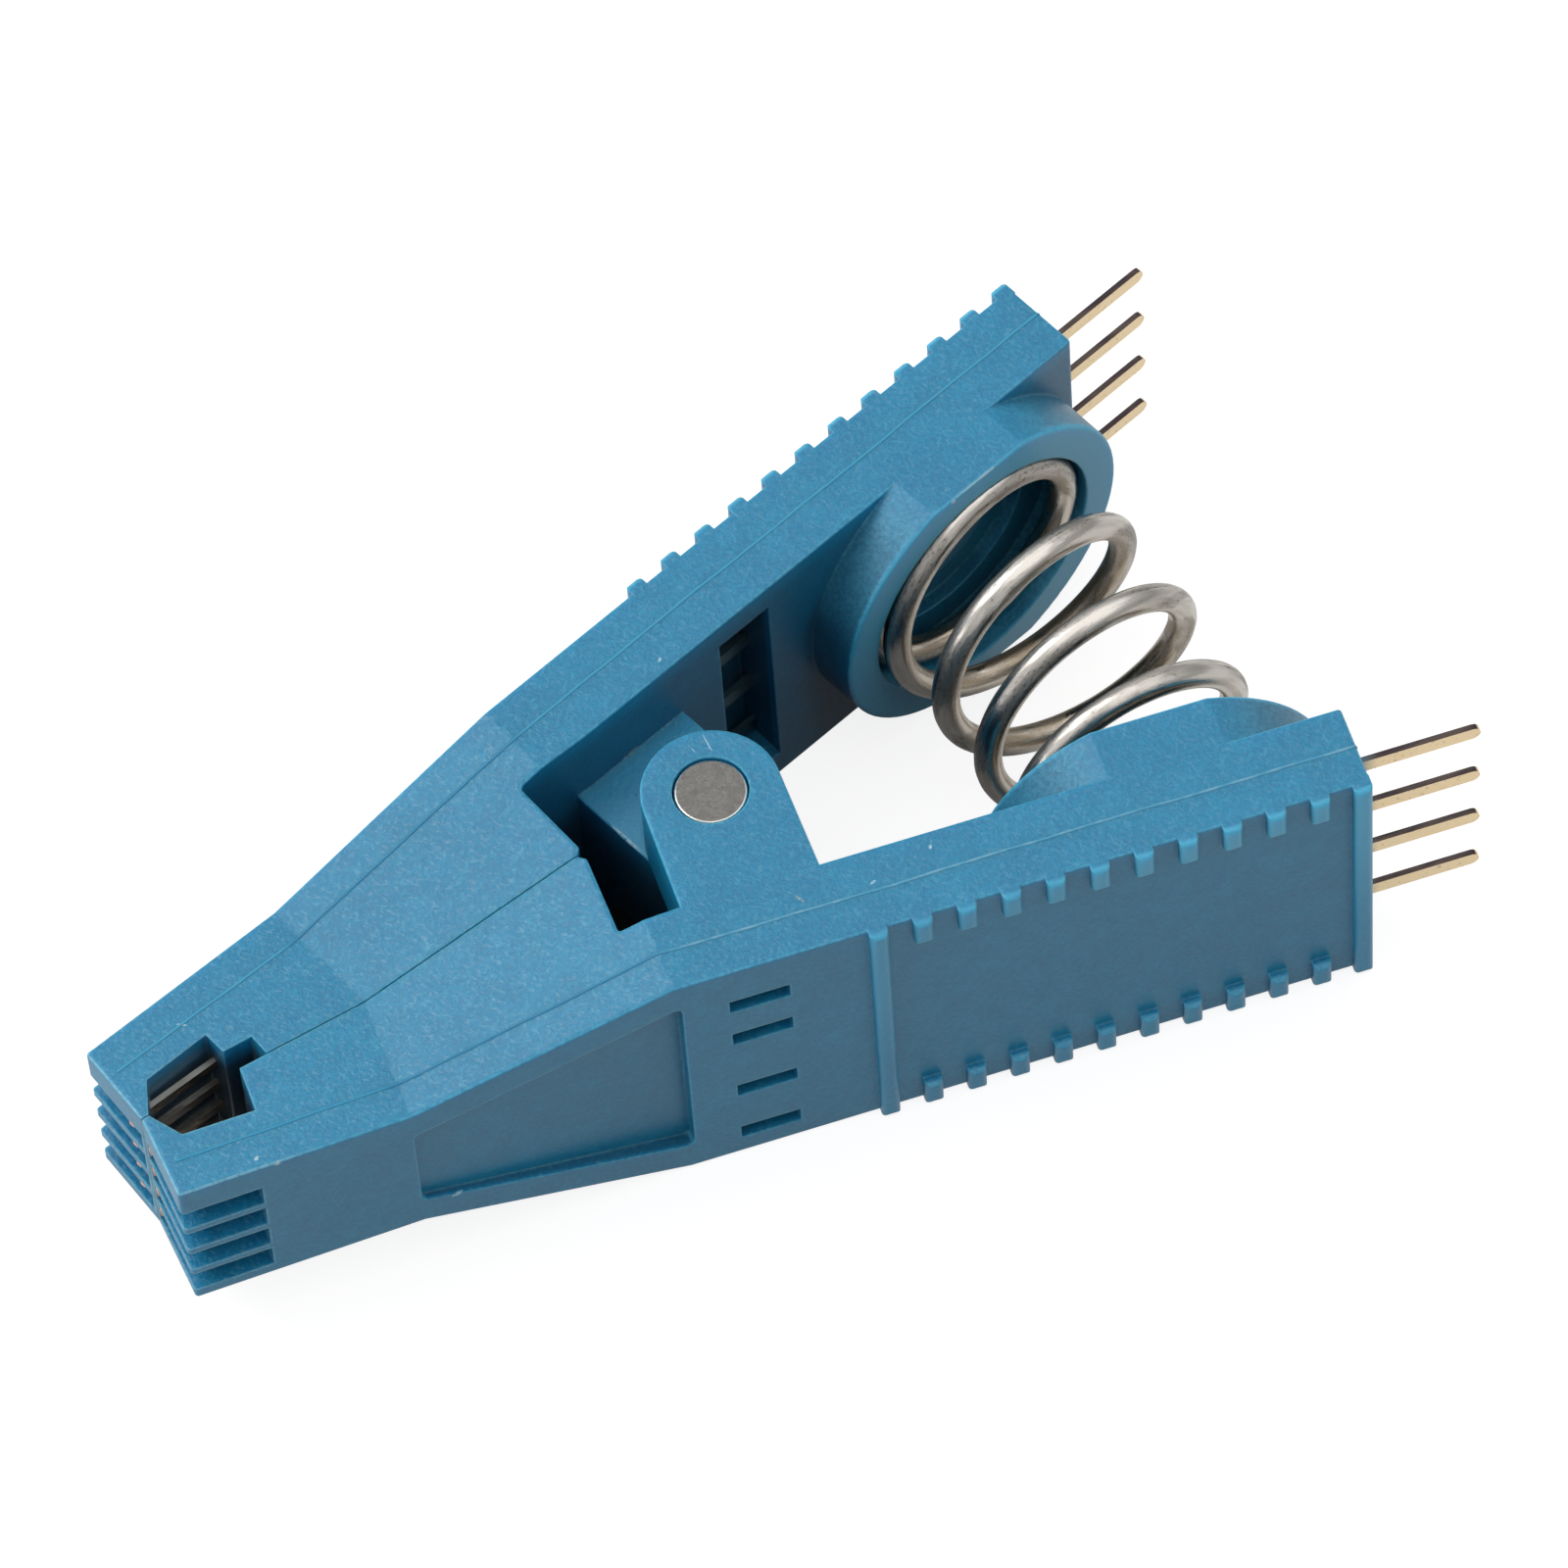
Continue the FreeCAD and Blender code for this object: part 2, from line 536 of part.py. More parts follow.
os.makedirs("parts", exist_ok=True)
for name, shape in build().items():
    box = shape.BoundBox
    print("%-18s solids %d valid %s volume %8.3f  x %7.2f %7.2f  y %7.2f %7.2f  z %6.2f %6.2f" % (
        name, len(shape.Solids), shape.isValid(), shape.Volume,
        box.XMin, box.XMax, box.YMin, box.YMax, box.ZMin, box.ZMax))
    shape.exportStep(os.path.join("parts", name + ".step"))
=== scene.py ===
"""Dresses the chip test clip for a studio picture: moulded plastic, sprung steel, stamped contacts, pale set.

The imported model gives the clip's solids. The arms, the pin and the contacts keep their solids and get their
finishes here. The spring is drawn again as a smooth wire that bends with the hinge, and each arm gets the
raised line that its mould left.
"""
import math

import bmesh
import bpy
import numpy as np
from bpy.props import FloatProperty, FloatVectorProperty, PointerProperty
from mathutils import Matrix, Vector


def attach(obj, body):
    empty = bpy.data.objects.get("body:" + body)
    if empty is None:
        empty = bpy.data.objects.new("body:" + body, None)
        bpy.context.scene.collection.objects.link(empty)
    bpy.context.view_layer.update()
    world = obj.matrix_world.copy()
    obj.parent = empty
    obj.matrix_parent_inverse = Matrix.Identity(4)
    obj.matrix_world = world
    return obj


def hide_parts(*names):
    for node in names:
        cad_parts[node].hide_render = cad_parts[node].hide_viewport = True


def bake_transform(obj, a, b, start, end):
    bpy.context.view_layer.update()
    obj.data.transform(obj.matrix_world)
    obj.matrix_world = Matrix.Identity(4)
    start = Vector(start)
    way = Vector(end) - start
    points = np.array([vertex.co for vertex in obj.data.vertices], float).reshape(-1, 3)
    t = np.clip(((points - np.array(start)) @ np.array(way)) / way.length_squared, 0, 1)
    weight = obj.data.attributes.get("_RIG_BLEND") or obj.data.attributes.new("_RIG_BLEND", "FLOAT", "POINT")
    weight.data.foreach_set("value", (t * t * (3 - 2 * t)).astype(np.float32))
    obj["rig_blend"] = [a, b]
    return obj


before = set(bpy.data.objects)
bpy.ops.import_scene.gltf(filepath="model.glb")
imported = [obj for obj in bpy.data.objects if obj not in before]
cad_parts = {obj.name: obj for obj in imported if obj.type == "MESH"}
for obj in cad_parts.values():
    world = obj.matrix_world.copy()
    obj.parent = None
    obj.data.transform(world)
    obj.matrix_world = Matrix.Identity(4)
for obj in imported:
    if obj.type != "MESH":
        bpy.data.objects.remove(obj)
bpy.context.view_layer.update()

bl_info = {
    "name": "Chip Test Clip",
    "version": (1, 0, 0),
    "blender": (4, 5, 0),
    "location": "View3D > Sidebar > Test Clip",
    "description": "Finishes and studio set for a sprung chip test clip",
    "category": "Object",
}

MM = 0.001
# The side of the closing plane that each half lies on, along Y
SIDES = {"clevis_side": -1, "tongue_side": 1}

# Sizes of the arms, as the solids have them, in metres. Distances run from the hinge, or from the hinge line
# where they run out from it.
HINGE_X = -0.68736 * MM
MIDDLE_Z = 5.55 * MM
SPREAD = math.radians(12.6)
TAIL_LENGTH = 19.62 * MM
TAIL_OUTER = 6.8 * MM
KNEE_DISTANCE = 3.2 * MM
TIP_DISTANCE = 20.77 * MM
TIP_HALF_WIDTH = 3.0 * MM
TAIL_HALF_HEIGHT = 5.55 * MM
TIP_HALF_HEIGHT = 3.28 * MM
TAPER_LENGTH = 8.8 * MM
EDGE_ROUND = 0.13 * MM
CUP_DISTANCE = 13.85 * MM
CUP_RIM_LINE = 2.19 * MM
CUP_BORE_RADIUS = 4.63 * MM
FLOOR_LEVEL = -0.04 * MM

# Directions along and out from the tail and the jaw of the tongue side, seen along the pin
TAIL_ALONG = np.array([math.cos(SPREAD), math.sin(SPREAD)])
TAIL_OUT = np.array([-math.sin(SPREAD), math.cos(SPREAD)])
KNEE = TAIL_OUTER * TAIL_OUT - KNEE_DISTANCE * TAIL_ALONG
TIP = np.array([-TIP_DISTANCE, TIP_HALF_WIDTH])
JAW_LENGTH = math.dist(KNEE, TIP)
JAW_ALONG = (KNEE - TIP) / JAW_LENGTH
JAW_OUT = np.array([-JAW_ALONG[1], JAW_ALONG[0]])

# Measured along X from the tip: how fast the jaw's outer face leans out, where its height starts to grow and
# how fast it grows
JAW_LEAN = float(JAW_ALONG[1] / JAW_ALONG[0])
TAPER_FOOT = float((JAW_LENGTH - TAPER_LENGTH) * JAW_ALONG[0])
TAPER_RISE = float((TAIL_HALF_HEIGHT - TIP_HALF_HEIGHT) / (TAPER_LENGTH * JAW_ALONG[0]))

# Points on the raised line: along the jaw, along the tail, round its end's edge and down half its end face
JAW_STEPS, TAIL_STEPS, CORNER_STEPS, END_STEPS = 90, 110, 7, 30
LINE_CLEARANCE = 0.3 * MM
# Points across the line's rounded top
RIDGE_POINTS = 7
# The line's stray is a sum of waves: size, shift and strength
STRAY_WAVES = ((2.1 * MM, 0.0, 1.0), (0.83 * MM, 1.0, 0.7), (0.37 * MM, 2.0, 0.4))

# The spring's wire: rings along it, points round it, and how far each domed end reaches, in wire radii
WIRE_RINGS = 720
WIRE_POINTS = 20
DOME_REACH = 0.4

# Softboxes: the direction that each shines from, its distance and the length of its side, in metres
SOFTBOXES = {
    "key": ((-0.37, 0.48, 0.79), 0.6, 0.4),
    "overhead": ((0.34, -0.05, 0.94), 0.7, 1.0),
    "front": ((0.05, -0.98, 0.18), 0.6, 0.2),
    "side": ((-0.96, 0.08, 0.26), 0.6, 0.25),
}
# The painted shadow on the floor under the hinge
SPOT_CENTRE = (-3.0 * MM, 2.0 * MM, 0.0)
SPOT_RADIUS = 4.4 * MM
BLACK = (0.0, 0.0, 0.0)
WHITE = (1.0, 1.0, 1.0)


def length(name, description, default):
    """A size in metres that the panel shows with its unit."""
    return FloatProperty(name=name, description=description, default=default, unit="LENGTH", precision=6)


def count(name, description, default, low):
    """A plain number from its lower limit."""
    return FloatProperty(name=name, description=description, default=default, min=low)


def share(name, description, default, high=1.0):
    """A plain number from nought to its upper limit."""
    return FloatProperty(name=name, description=description, default=default, min=0.0, max=high)


def colour(name, description, default):
    """A linear colour."""
    return FloatVectorProperty(name=name, description=description, default=default, subtype="COLOR",
                               size=3, min=0.0, max=1.0)


class MouldingSettings(bpy.types.PropertyGroup):
    """Colours, roughness and grain of the blue plastic"""

    body: colour("Body", "Blue of the moulding", (0.010, 0.262, 0.455))
    # Darker blue of the slow tone, and also the painted shade on the raised line over the jaw's slope
    deep_tone_and_shade: colour("Deep", "Blue where the tone runs darker", (0.008, 0.192, 0.360))
    fibre: colour("Fibre", "Pale fibres in the surface", (0.060, 0.350, 0.540))
    # Paler edges: wear, and a painted highlight on rounded edges and fillets; it also lifts the raised line
    # on the tongue side
    wear_and_highlight: colour("Worn", "Rubbed and rounded edges", (0.100, 0.440, 0.650))
    # Ribs paler from rubbing and painted light; the cup's rim and the lug's top painted lighter
    crest_rub_and_light: colour("Crest", "Rubbed faces of the ribs", (0.085, 0.460, 0.700))
    # Nicks, burrs and scuffs, and also painted glints among the pale flecks
    scuffs_and_glints: colour("Whitened", "Nicks, burrs and scuffs", (0.40, 0.60, 0.68))
    stain: colour("Stain", "Tan rub marks", (0.52, 0.46, 0.30))
    # Dark specks, and also the painted shade that the hollows and the sunk panel are mixed towards
    specks_and_shade: colour("Soot", "Dark specks", (0.025, 0.042, 0.068))
    roughness: share("Roughness", "Mean roughness of the moulding", 0.37)
    fibre_size: length("Fibre size", "Thickness of one pale fibre", 0.00014)
    grain_depth: length("Grain depth", "Depth of the moulded grain", 0.000010)
    edge_round: length("Edge round", "How far light runs round a sharp edge", 0.00011)
    glow_depth: length("Glow depth", "How far light runs inside the plastic", 0.0009)


class PartingSettings(bpy.types.PropertyGroup):
    """Place and size of the raised line on each arm"""

    inset: length("Inset", "Outer face to the line, over the tail", 0.00136)
    tip_inset: length("Tip inset", "Outer face to the line, at the tip", 0.00118)
    width: length("Width", "Width of the raised line", 0.00010)
    height: length("Height", "Height of the raised line", 0.00003)
    wander: length("Wander", "How far the line strays sideways", 0.00003)


class SpringSettings(bpy.types.PropertyGroup):
    """Shape of the spring's wire and colours of its steel"""

    outside: length("Outside diameter", "Across the coil", 0.00896)
    wire: length("Wire diameter", "Thickness of the wire", 0.00092)
    turns: count("Turns", "Turns of wire from end to end", 5.5, 1.0)
    closed: count("Closed turns", "Closed turns at each end", 0.51, 0.0)
    run_in: count("Run-in turns", "Turns over which the pitch opens", 0.62, 0.01)
    distance: length("Distance", "Hinge to the cups' centres, along the tail", 0.01385)
    seat: length("Seat", "Hinge line to the wire's centre at each end", 0.0035)
    side_play: length("Side play", "How far the spring sits to the tail side", 0.00007)
    start: FloatProperty(name="Start angle", description="Where the wire starts", default=math.radians(121.7),
                         subtype="ANGLE")
    light: colour("Light", "Bright drawn steel", (0.55, 0.52, 0.48))
    dark: colour("Dark", "Dull streaks in the steel", (0.13, 0.118, 0.105))
    film: colour("Film", "Tan film on the coil's inner side", (0.44, 0.34, 0.21))


class MetalSettings(bpy.types.PropertyGroup):
    """Colours of the hinge pin and the contact strips"""

    pin_light: colour("Pin", "Steel of the hinge pin", (0.155, 0.15, 0.14))
    pin_rim: colour("Pin rim", "Polished round edge of the pin", (0.75, 0.73, 0.70))
    pin_dark: colour("Pin stain", "Dull patches on the pin's end", (0.10, 0.095, 0.09))
    gold: colour("Gold", "Plated sides of the tail pins", (0.86, 0.68, 0.42))
    sheared: colour("Sheared edge", "Dark sheared edges of the tail pins", (0.040, 0.030, 0.034))
    # Tarnish and painted shade on the contacts' faces in the chip pocket
    inner: colour("Inner", "Tarnished faces in the chip pocket", (0.045, 0.034, 0.026))
    # Painted shade: the contacts' faces inside the arms
    inside_shade: colour("Buried", "Dull faces inside the arms", (0.08, 0.16, 0.20))
    streak: colour("Streak", "Gold streaks on the tarnished faces", (0.35, 0.22, 0.08))
    bare: colour("Bare", "Silver edges in the chip pocket", (0.45, 0.44, 0.40))
    copper: colour("Copper", "Cut ends at the jaw tip", (0.85, 0.42, 0.24))


class StudioSettings(bpy.types.PropertyGroup):
    """Floor, surroundings and softboxes"""

    floor: colour("Floor", "Floor as it lights the clip", (0.32, 0.315, 0.31))
    shade: colour("Shade", "Floor between the arms, as it lights them", (0.05, 0.05, 0.05))
    seen_floor: share("Seen floor", "Light added to the floor as the camera sees it", 0.85)
    mirrored_floor: share("Mirrored floor", "Light added to the floor as gloss shows it", 0.62)
    world: share("World", "Light from all round", 0.34, 2.0)
    horizon: share("Horizon", "Brightness low down, as gloss shows it", 0.45)
    key: share("Key", "Softbox behind the jaws, in watts", 1.75, 50.0)
    overhead: share("Overhead", "Large softbox overhead, in watts", 2.05, 50.0)
    front: share("Front", "Low softbox in front, in watts", 0.12, 50.0)
    side: share("Side", "Low softbox before the jaw tips, in watts", 0.8, 50.0)
    span: length("Floor span", "Length of the floor's side", 6.0)


class Value:
    """One output of a node. Sums with it add Math nodes, so that masks read as plain expressions."""

    def __init__(self, nodes, socket):
        self.nodes = nodes
        self.socket = socket

    def math(self, operation, *rest):
        inputs = dict(enumerate((self,) + rest))
        return self.nodes.node("Math", {"operation": operation}, inputs)

    def __add__(self, other):
        return self.math("ADD", other)

    def __radd__(self, other):
        return self.math("ADD", other)

    def __sub__(self, other):
        return self.math("SUBTRACT", other)

    def __rsub__(self, other):
        return self.nodes.node("Math", {"operation": "SUBTRACT"}, {0: other, 1: self})

    def __mul__(self, other):
        return self.math("MULTIPLY", other)

    def __rmul__(self, other):
        return self.math("MULTIPLY", other)

    def __abs__(self):
        return self.math("ABSOLUTE")

    def ramp(self, low, high):
        """Nought below low, one above high and a smooth rise between them. Low may be the larger."""
        settings = {"interpolation_type": "SMOOTHSTEP"}
        inputs = {"Value": self, "From Min": low, "From Max": high, "To Min": 0.0, "To Max": 1.0}
        return self.nodes.node("MapRange", settings, inputs)

    def rise(self, low, high):
        """The same ramp with its two ends in millimetres."""
        return self.ramp(low * MM, high * MM)

    def span(self, foot, full, fall, end):
        """One between the middle two places and nought outside the outer two, all in millimetres."""
        return self.rise(foot, full) * self.rise(end, fall)


class Nodes:
    """A tree of shader nodes, built through one method."""

    def __init__(self, tree):
        self.tree = tree
        tree.nodes.clear()

    def node(self, kind, settings=None, inputs=None, output=0):
        """Add a node, set its settings, fill its inputs with values or links, and give one output."""
        made = self.tree.nodes.new("ShaderNode" + kind)
        for name, setting in (settings or {}).items():
            setattr(made, name, setting)
        for name, given in (inputs or {}).items():
            if isinstance(given, Value):
                self.tree.links.new(given.socket, made.inputs[name])
            else:
                made.inputs[name].default_value = given
        return Value(self, made.outputs[output]) if made.outputs else None

    def place(self):
        """The point on the surface, in the object's own axes."""
        return self.node("TexCoord", output="Object")

    def part(self, vector, axis):
        """One of the three numbers of a vector."""
        return self.node("SeparateXYZ", None, {"Vector": vector}, axis)

    def upright(self):
        """How squarely the surface faces up or down, from nought on a wall to one on a flat."""
        return abs(self.part(self.node("NewGeometry", output="Normal"), 2))

    def stretched(self, point, scale, turn=(0.0, 0.0, 0.0)):
        """The same point turned, with each axis scaled after that."""
        turned = self.node("Mapping", None, {"Vector": point, "Rotation": turn})
        return self.node("Mapping", None, {"Vector": turned, "Scale": scale})

    def noise(self, point, size, detail=2.0, distortion=0.0):
        """Cloudy noise from nought to one whose lumps are about one size across, in the point's own unit."""
        inputs = {"Vector": point, "Scale": 1 / size, "Detail": detail, "Distortion": distortion}
        return self.node("TexNoise", None, inputs)

    def mix(self, factor, first, second):
        """Colour that goes from the first to the second as the factor rises."""
        inputs = {0: factor, 6: solid(first), 7: solid(second)}
        return self.node("Mix", {"data_type": "RGBA"}, inputs, 2)

    def bump(self, height, distance, normal=None):
        """A normal that follows small heights, on top of a given normal if there is one."""
        inputs = {"Distance": distance, "Height": height}
        if normal is not None:
            inputs["Normal"] = normal
        return self.node("Bump", None, inputs)

    def mark(self, point, centre, half_size, turn):
        """One inside a small oval that is turned about the vertical, and nought outside it."""
        inputs = {"Vector": point, "Location": centre, "Rotation": (0.0, 0.0, turn), "Scale": half_size}
        beside = self.node("Mapping", {"vector_type": "TEXTURE"}, inputs)
        away = self.node("VectorMath", {"operation": "LENGTH"}, {"Vector": beside}, "Value")
        return away.ramp(1.0, 0.55)

    def shown_to(self, *rays):
        """One for the kinds of ray that are named, such as camera, and nought for the others."""
        return strongest(*[self.node("LightPath", output="Is " + ray + " Ray") for ray in rays])


def strongest(first, *others):
    """The largest of some values at each point."""
    for other in others:
        first = first.math("MAXIMUM", other)
    return first


def material(name):
    """A new material and its empty tree."""
    made = bpy.data.materials.new(name)
    made.use_nodes = True
    return made, Nodes(made.node_tree)


def finish(nodes, **sockets):
    """Feed the shader, whose plain sockets take numbers, and close the tree."""
    inputs = {name.replace("_", " "): given for name, given in sockets.items()}
    shader = nodes.node("BsdfPrincipled", None, inputs)
    nodes.node("OutputMaterial", None, {"Surface": shader})


def solid(given):
    """A colour with its fourth number, or a link as it is."""
    return given if isinstance(given, Value) else tuple(given) + (1.0,)


def settings_of(context, name):
    """One of the scene's groups of settings."""
    return getattr(context.scene, "clip_" + name)


def paint(node, look):
    """Give a solid of the frame one finish."""
    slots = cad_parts[node].data.materials
    slots.clear()
    slots.append(look)


def grid_mesh(name, points, uv=None, follow=None):
    """Mesh over a grid of points: rows run along the piece and columns run round it, back to the first.

    The first and the last row are single points, which close the piece. UV pairs have one column more than
    the points, so that the pattern doesn't turn back at the seam. Follow gives each row one number.
    """
    rows, columns = points.shape[:2]
    row, column = np.meshgrid(np.arange(rows - 1), np.arange(columns), indexing="ij")
    beside = (column + 1) % columns
    faces = np.stack([row * columns + column, row * columns + beside,
                      (row + 1) * columns + beside, (row + 1) * columns + column], -1).reshape(-1, 4)
    mesh = bpy.data.meshes.new(name)
    mesh.from_pydata(points.reshape(-1, 3).tolist(), [], faces.tolist())
    if uv is not None:
        corners = np.stack([uv[row, column], uv[row, column + 1], uv[row + 1, column + 1],
                            uv[row + 1, column]], -2)
        mesh.uv_layers.new(name="wrap").data.foreach_set("uv", corners.astype(np.float32).ravel())
    if follow is not None:
        kept = mesh.attributes.new("follow", "FLOAT", "POINT")
        kept.data.foreach_set("value", np.repeat(follow, columns).astype(np.float32))
    work = bmesh.new()
    work.from_mesh(mesh)
    bmesh.ops.remove_doubles(work, verts=work.verts, dist=1e-8)
    bmesh.ops.recalc_face_normals(work, faces=work.faces)
    work.to_mesh(mesh)
    work.free()
    mesh.shade_smooth()
    piece = bpy.data.objects.new(name, mesh)
    bpy.context.scene.collection.objects.link(piece)
    return piece


def carried(path, across, upward, profile):
    """A profile carried along a path: each row is the path's point plus the profile's two parts, one along
    the sideways direction and one along the upward direction. Both ends are drawn in to a point."""
    rows = (path[:, None, :] + profile[None, :, :1] * across[:, None, :]
            + profile[None, :, 1:] * upward[:, None, :])
    first = np.repeat(rows[:1].mean(1, keepdims=True), rows.shape[1], 1)
    last = np.repeat(rows[-1:].mean(1, keepdims=True), rows.shape[1], 1)
    return np.concatenate([first, rows, last])


def unit(vectors):
    """Each vector at length one."""
    return vectors / np.linalg.norm(vectors, axis=-1, keepdims=True)


def distance_gone(points):
    """How far each point lies from the first, along the path."""
    return np.concatenate([[0.0], np.cumsum(np.linalg.norm(np.diff(points, axis=0), axis=1))])


# Marks on the arms: centre, half sizes and turn, in millimetres and degrees
WHITE_MARKS = (
    ((0.38, 4.71, 11.10), (0.10, 0.06, 0.1), 40),
    ((1.92, -5.87, 11.10), (0.14, 0.05, 0.1), 10),
    ((4.08, -5.71, 11.10), (0.10, 0.07, 0.1), 60),
    ((-18.74, -3.12, 8.83), (0.12, 0.08, 0.1), 20),
    ((-18.26, -3.57, 8.75), (0.13, 0.08, 0.12), 0),
    ((-17.68, -0.34, 7.27), (0.08, 0.09, 0.09), 0),
    ((-12.87, -4.56, 3.21), (0.30, 0.10, 0.08), 10),
    ((11.28, 4.95, 10.98), (0.12, 0.12, 0.12), 12),
    ((11.95, 5.10, 11.05), (0.75, 0.035, 0.06), 12.6),
    ((12.70, 5.26, 11.06), (0.60, 0.05, 0.08), 12.6),
    ((0.10, 1.24, 11.10), (0.025, 0.44, 0.1), -5),
    ((-0.42, 1.32, 11.10), (0.016, 0.22, 0.1), 8),
    ((-3.03, 1.25, 8.02), (0.06, 0.80, 0.12), 12),
    ((-18.40, 2.30, 8.83), (0.22, 0.05, 0.1), -40),
)
TAN_MARKS = (
    ((-0.33, -5.18, 11.10), (0.24, 0.045, 0.1), -70),
    ((-1.35, 3.90, 8.11), (0.42, 0.14, 0.07), 12),
)
DARK_MARKS = (
    ((-1.98, 2.46, 8.05), (0.06, 0.05, 0.1), 0),
    ((5.42, -8.33, 5.44), (0.10, 0.10, 0.03), 0),
)


def marks(nodes, point, places):
    """All the marks of one colour, with ragged edges."""
    ragged = nodes.noise(point, 0.10 * MM, 3.0).ramp(0.33, 0.50)
    made = []
    for centre, half_size, turn in places:
        centre = [part * MM for part in centre]
        half_size = [part * MM for part in half_size]
        made.append(nodes.mark(point, centre, half_size, math.radians(turn)))
    return strongest(*made) * ragged


def moulding_finish(settings):
    """Blue filled plastic: slow tone, short crossed fibres, flecks with painted glints, painted shade in the
    hollows, edges paler from wear and a painted highlight, ribs, rim and lug top painted lighter, a few marks
    and a fine grain."""
    made, nodes = material("moulding")
    point = nodes.place()
    axes = arm_axes(nodes, point)
    x = axes[2]
    upright = nodes.upright()
    flat = upright.ramp(0.6, 0.95)

    size = settings.fibre_size
    lying = nodes.noise(nodes.stretched(point, (0.45, 1.0, 0.7), (0.0, 0.0, -0.9)), size, 2.0, 0.6)
    crossed = nodes.noise(nodes.stretched(point, (0.5, 1.0, 0.7), (0.0, 0.0, 0.6)), size, 2.0, 0.6)
    small = nodes.noise(nodes.stretched(point, (0.5, 1.0, 0.7), (0.0, 0.0, 1.1)), 0.10 * MM, 2.0, 0.5)
    fibre = strongest(lying.ramp(0.57, 0.72), 0.8 * crossed.ramp(0.58, 0.74))
    tone = nodes.noise(point, 4 * MM, 3.0).ramp(0.35, 0.7)
    mottle = nodes.noise(point, 0.15 * MM, 4.0, 0.4).ramp(0.36, 0.64)
    cloud = nodes.noise(point, 0.9 * MM, 3.0).ramp(0.35, 0.68)
    ground = nodes.mix(0.2 * tone + 0.5 * mottle + 0.3 * cloud, settings.deep_tone_and_shade, settings.body)
    fibred = nodes.mix(fibre * (0.10 + 0.32 * flat), ground, settings.fibre)

    hollows = strongest(shaded_hollows(axes), panel_shade(axes, flat))
    # Pale flecks with painted glints, stronger on faces that look up and towards the jaw, and none in the
    # painted shade
    on_top = (0.07 + 0.07 * x.rise(-2.0, -6.0)) * upright.ramp(0.5, 0.85)
    speck_and_glint = small.ramp(0.54, 0.68) * hollows.ramp(0.3, 0.05) * (0.02 + on_top)
    flecked = nodes.mix(speck_and_glint, fibred, settings.scuffs_and_glints)
    # Painted shade: the hollows and the sunk panel are mixed towards the dark colour
    shaded = nodes.mix(0.85 * hollows, flecked, settings.specks_and_shade)

    soft = nodes.node("Bevel", {"samples": 5}, {"Radius": settings.edge_round})
    hard = nodes.node("NewGeometry", output="Normal")
    turned = nodes.node("VectorMath", {"operation": "DOT_PRODUCT"}, {0: soft, 1: hard}, "Value")
    fillet = upright.ramp(0.2, 0.5) * upright.ramp(0.95, 0.8)
    # Painted highlight and wear: sharp edges, found by the bevel, and fillet faces are mixed paler, but not
    # in the painted shade
    edge_wear_and_highlight = strongest(turned.ramp(0.985, 0.88), fillet) * (1 - hollows) * (0.5 + 0.45 * mottle)
    edged = nodes.mix(edge_wear_and_highlight, shaded, settings.wear_and_highlight)
    # Painted light on the ribs, the cup's rim and the lug's top, with rubbing on the ribs
    crested = nodes.mix(rubbed_and_lit_crests(axes, flat), edged, settings.crest_rub_and_light)

    # Near the tip the edges are paler still, as flash and painted highlight; the marks are nicks and scuffs
    scuff = strongest(0.5 * edge_wear_and_highlight * x.rise(-16.5, -19.0), marks(nodes, point, WHITE_MARKS))
    scuffed = nodes.mix(scuff, crested, settings.scuffs_and_glints)
    stained = nodes.mix(0.7 * marks(nodes, point, TAN_MARKS), scuffed, settings.stain)
    marked = nodes.mix(0.8 * marks(nodes, point, DARK_MARKS), stained, settings.specks_and_shade)

    grain = (nodes.noise(point, 0.06 * MM, 2.0) + 0.7 * lying + 0.9 * mottle) * (0.3 + 0.7 * flat)
    rough = settings.roughness - 0.05 + 0.1 * nodes.noise(point, 0.3 * MM, 2.0)
    finish(nodes, Base_Color=marked, Roughness=rough, Normal=nodes.bump(grain, settings.grain_depth, soft),
           Specular_IOR_Level=0.45, Subsurface_Weight=0.55, Subsurface_Radius=(0.25, 0.7, 1.0),
           Subsurface_Scale=settings.glow_depth)
    return made


def arm_axes(nodes, point):
    """Distance along the tail from the hinge, distance out from the hinge line, X, distance from the closing
    plane, and Z. Both arms share them, because one is the other turned over the closing plane."""
    x = nodes.part(point, 0)
    aside = abs(nodes.part(point, 1))
    z = nodes.part(point, 2)
    gone = x - HINGE_X
    along = TAIL_ALONG[0] * gone + TAIL_ALONG[1] * aside
    outward = TAIL_OUT[0] * gone + TAIL_OUT[1] * aside
    return along, outward, x, aside, z


def rubbed_and_lit_crests(axes, flat):
    """Paler from rubbing and painted light: the ribs, which stand proud of the tail's outer face, with the
    painted light falling off low down and near the hinge; then, as painted light, the cup's rim and the top
    of the lug."""
    along, outward, x, _, z = axes
    ribs = ((outward - TAIL_OUTER).rise(0.08, 0.26) * x.rise(-1.2, -0.8)
            * (0.35 + 0.65 * z.rise(2.0, 10.5)) * (0.6 + 0.4 * x.rise(2.0, 12.0)))
    rim = (outward - CUP_RIM_LINE).rise(0.12, 0.03) * along.rise(7.5, 8.0)
    lug = z.span(7.9, 8.0, 8.2, 8.3) * x.span(-6.0, -5.0, 3.0, 4.0) * outward.rise(4.0, 3.85) * flat
    return strongest(ribs, 0.75 * rim, 0.5 * lug)


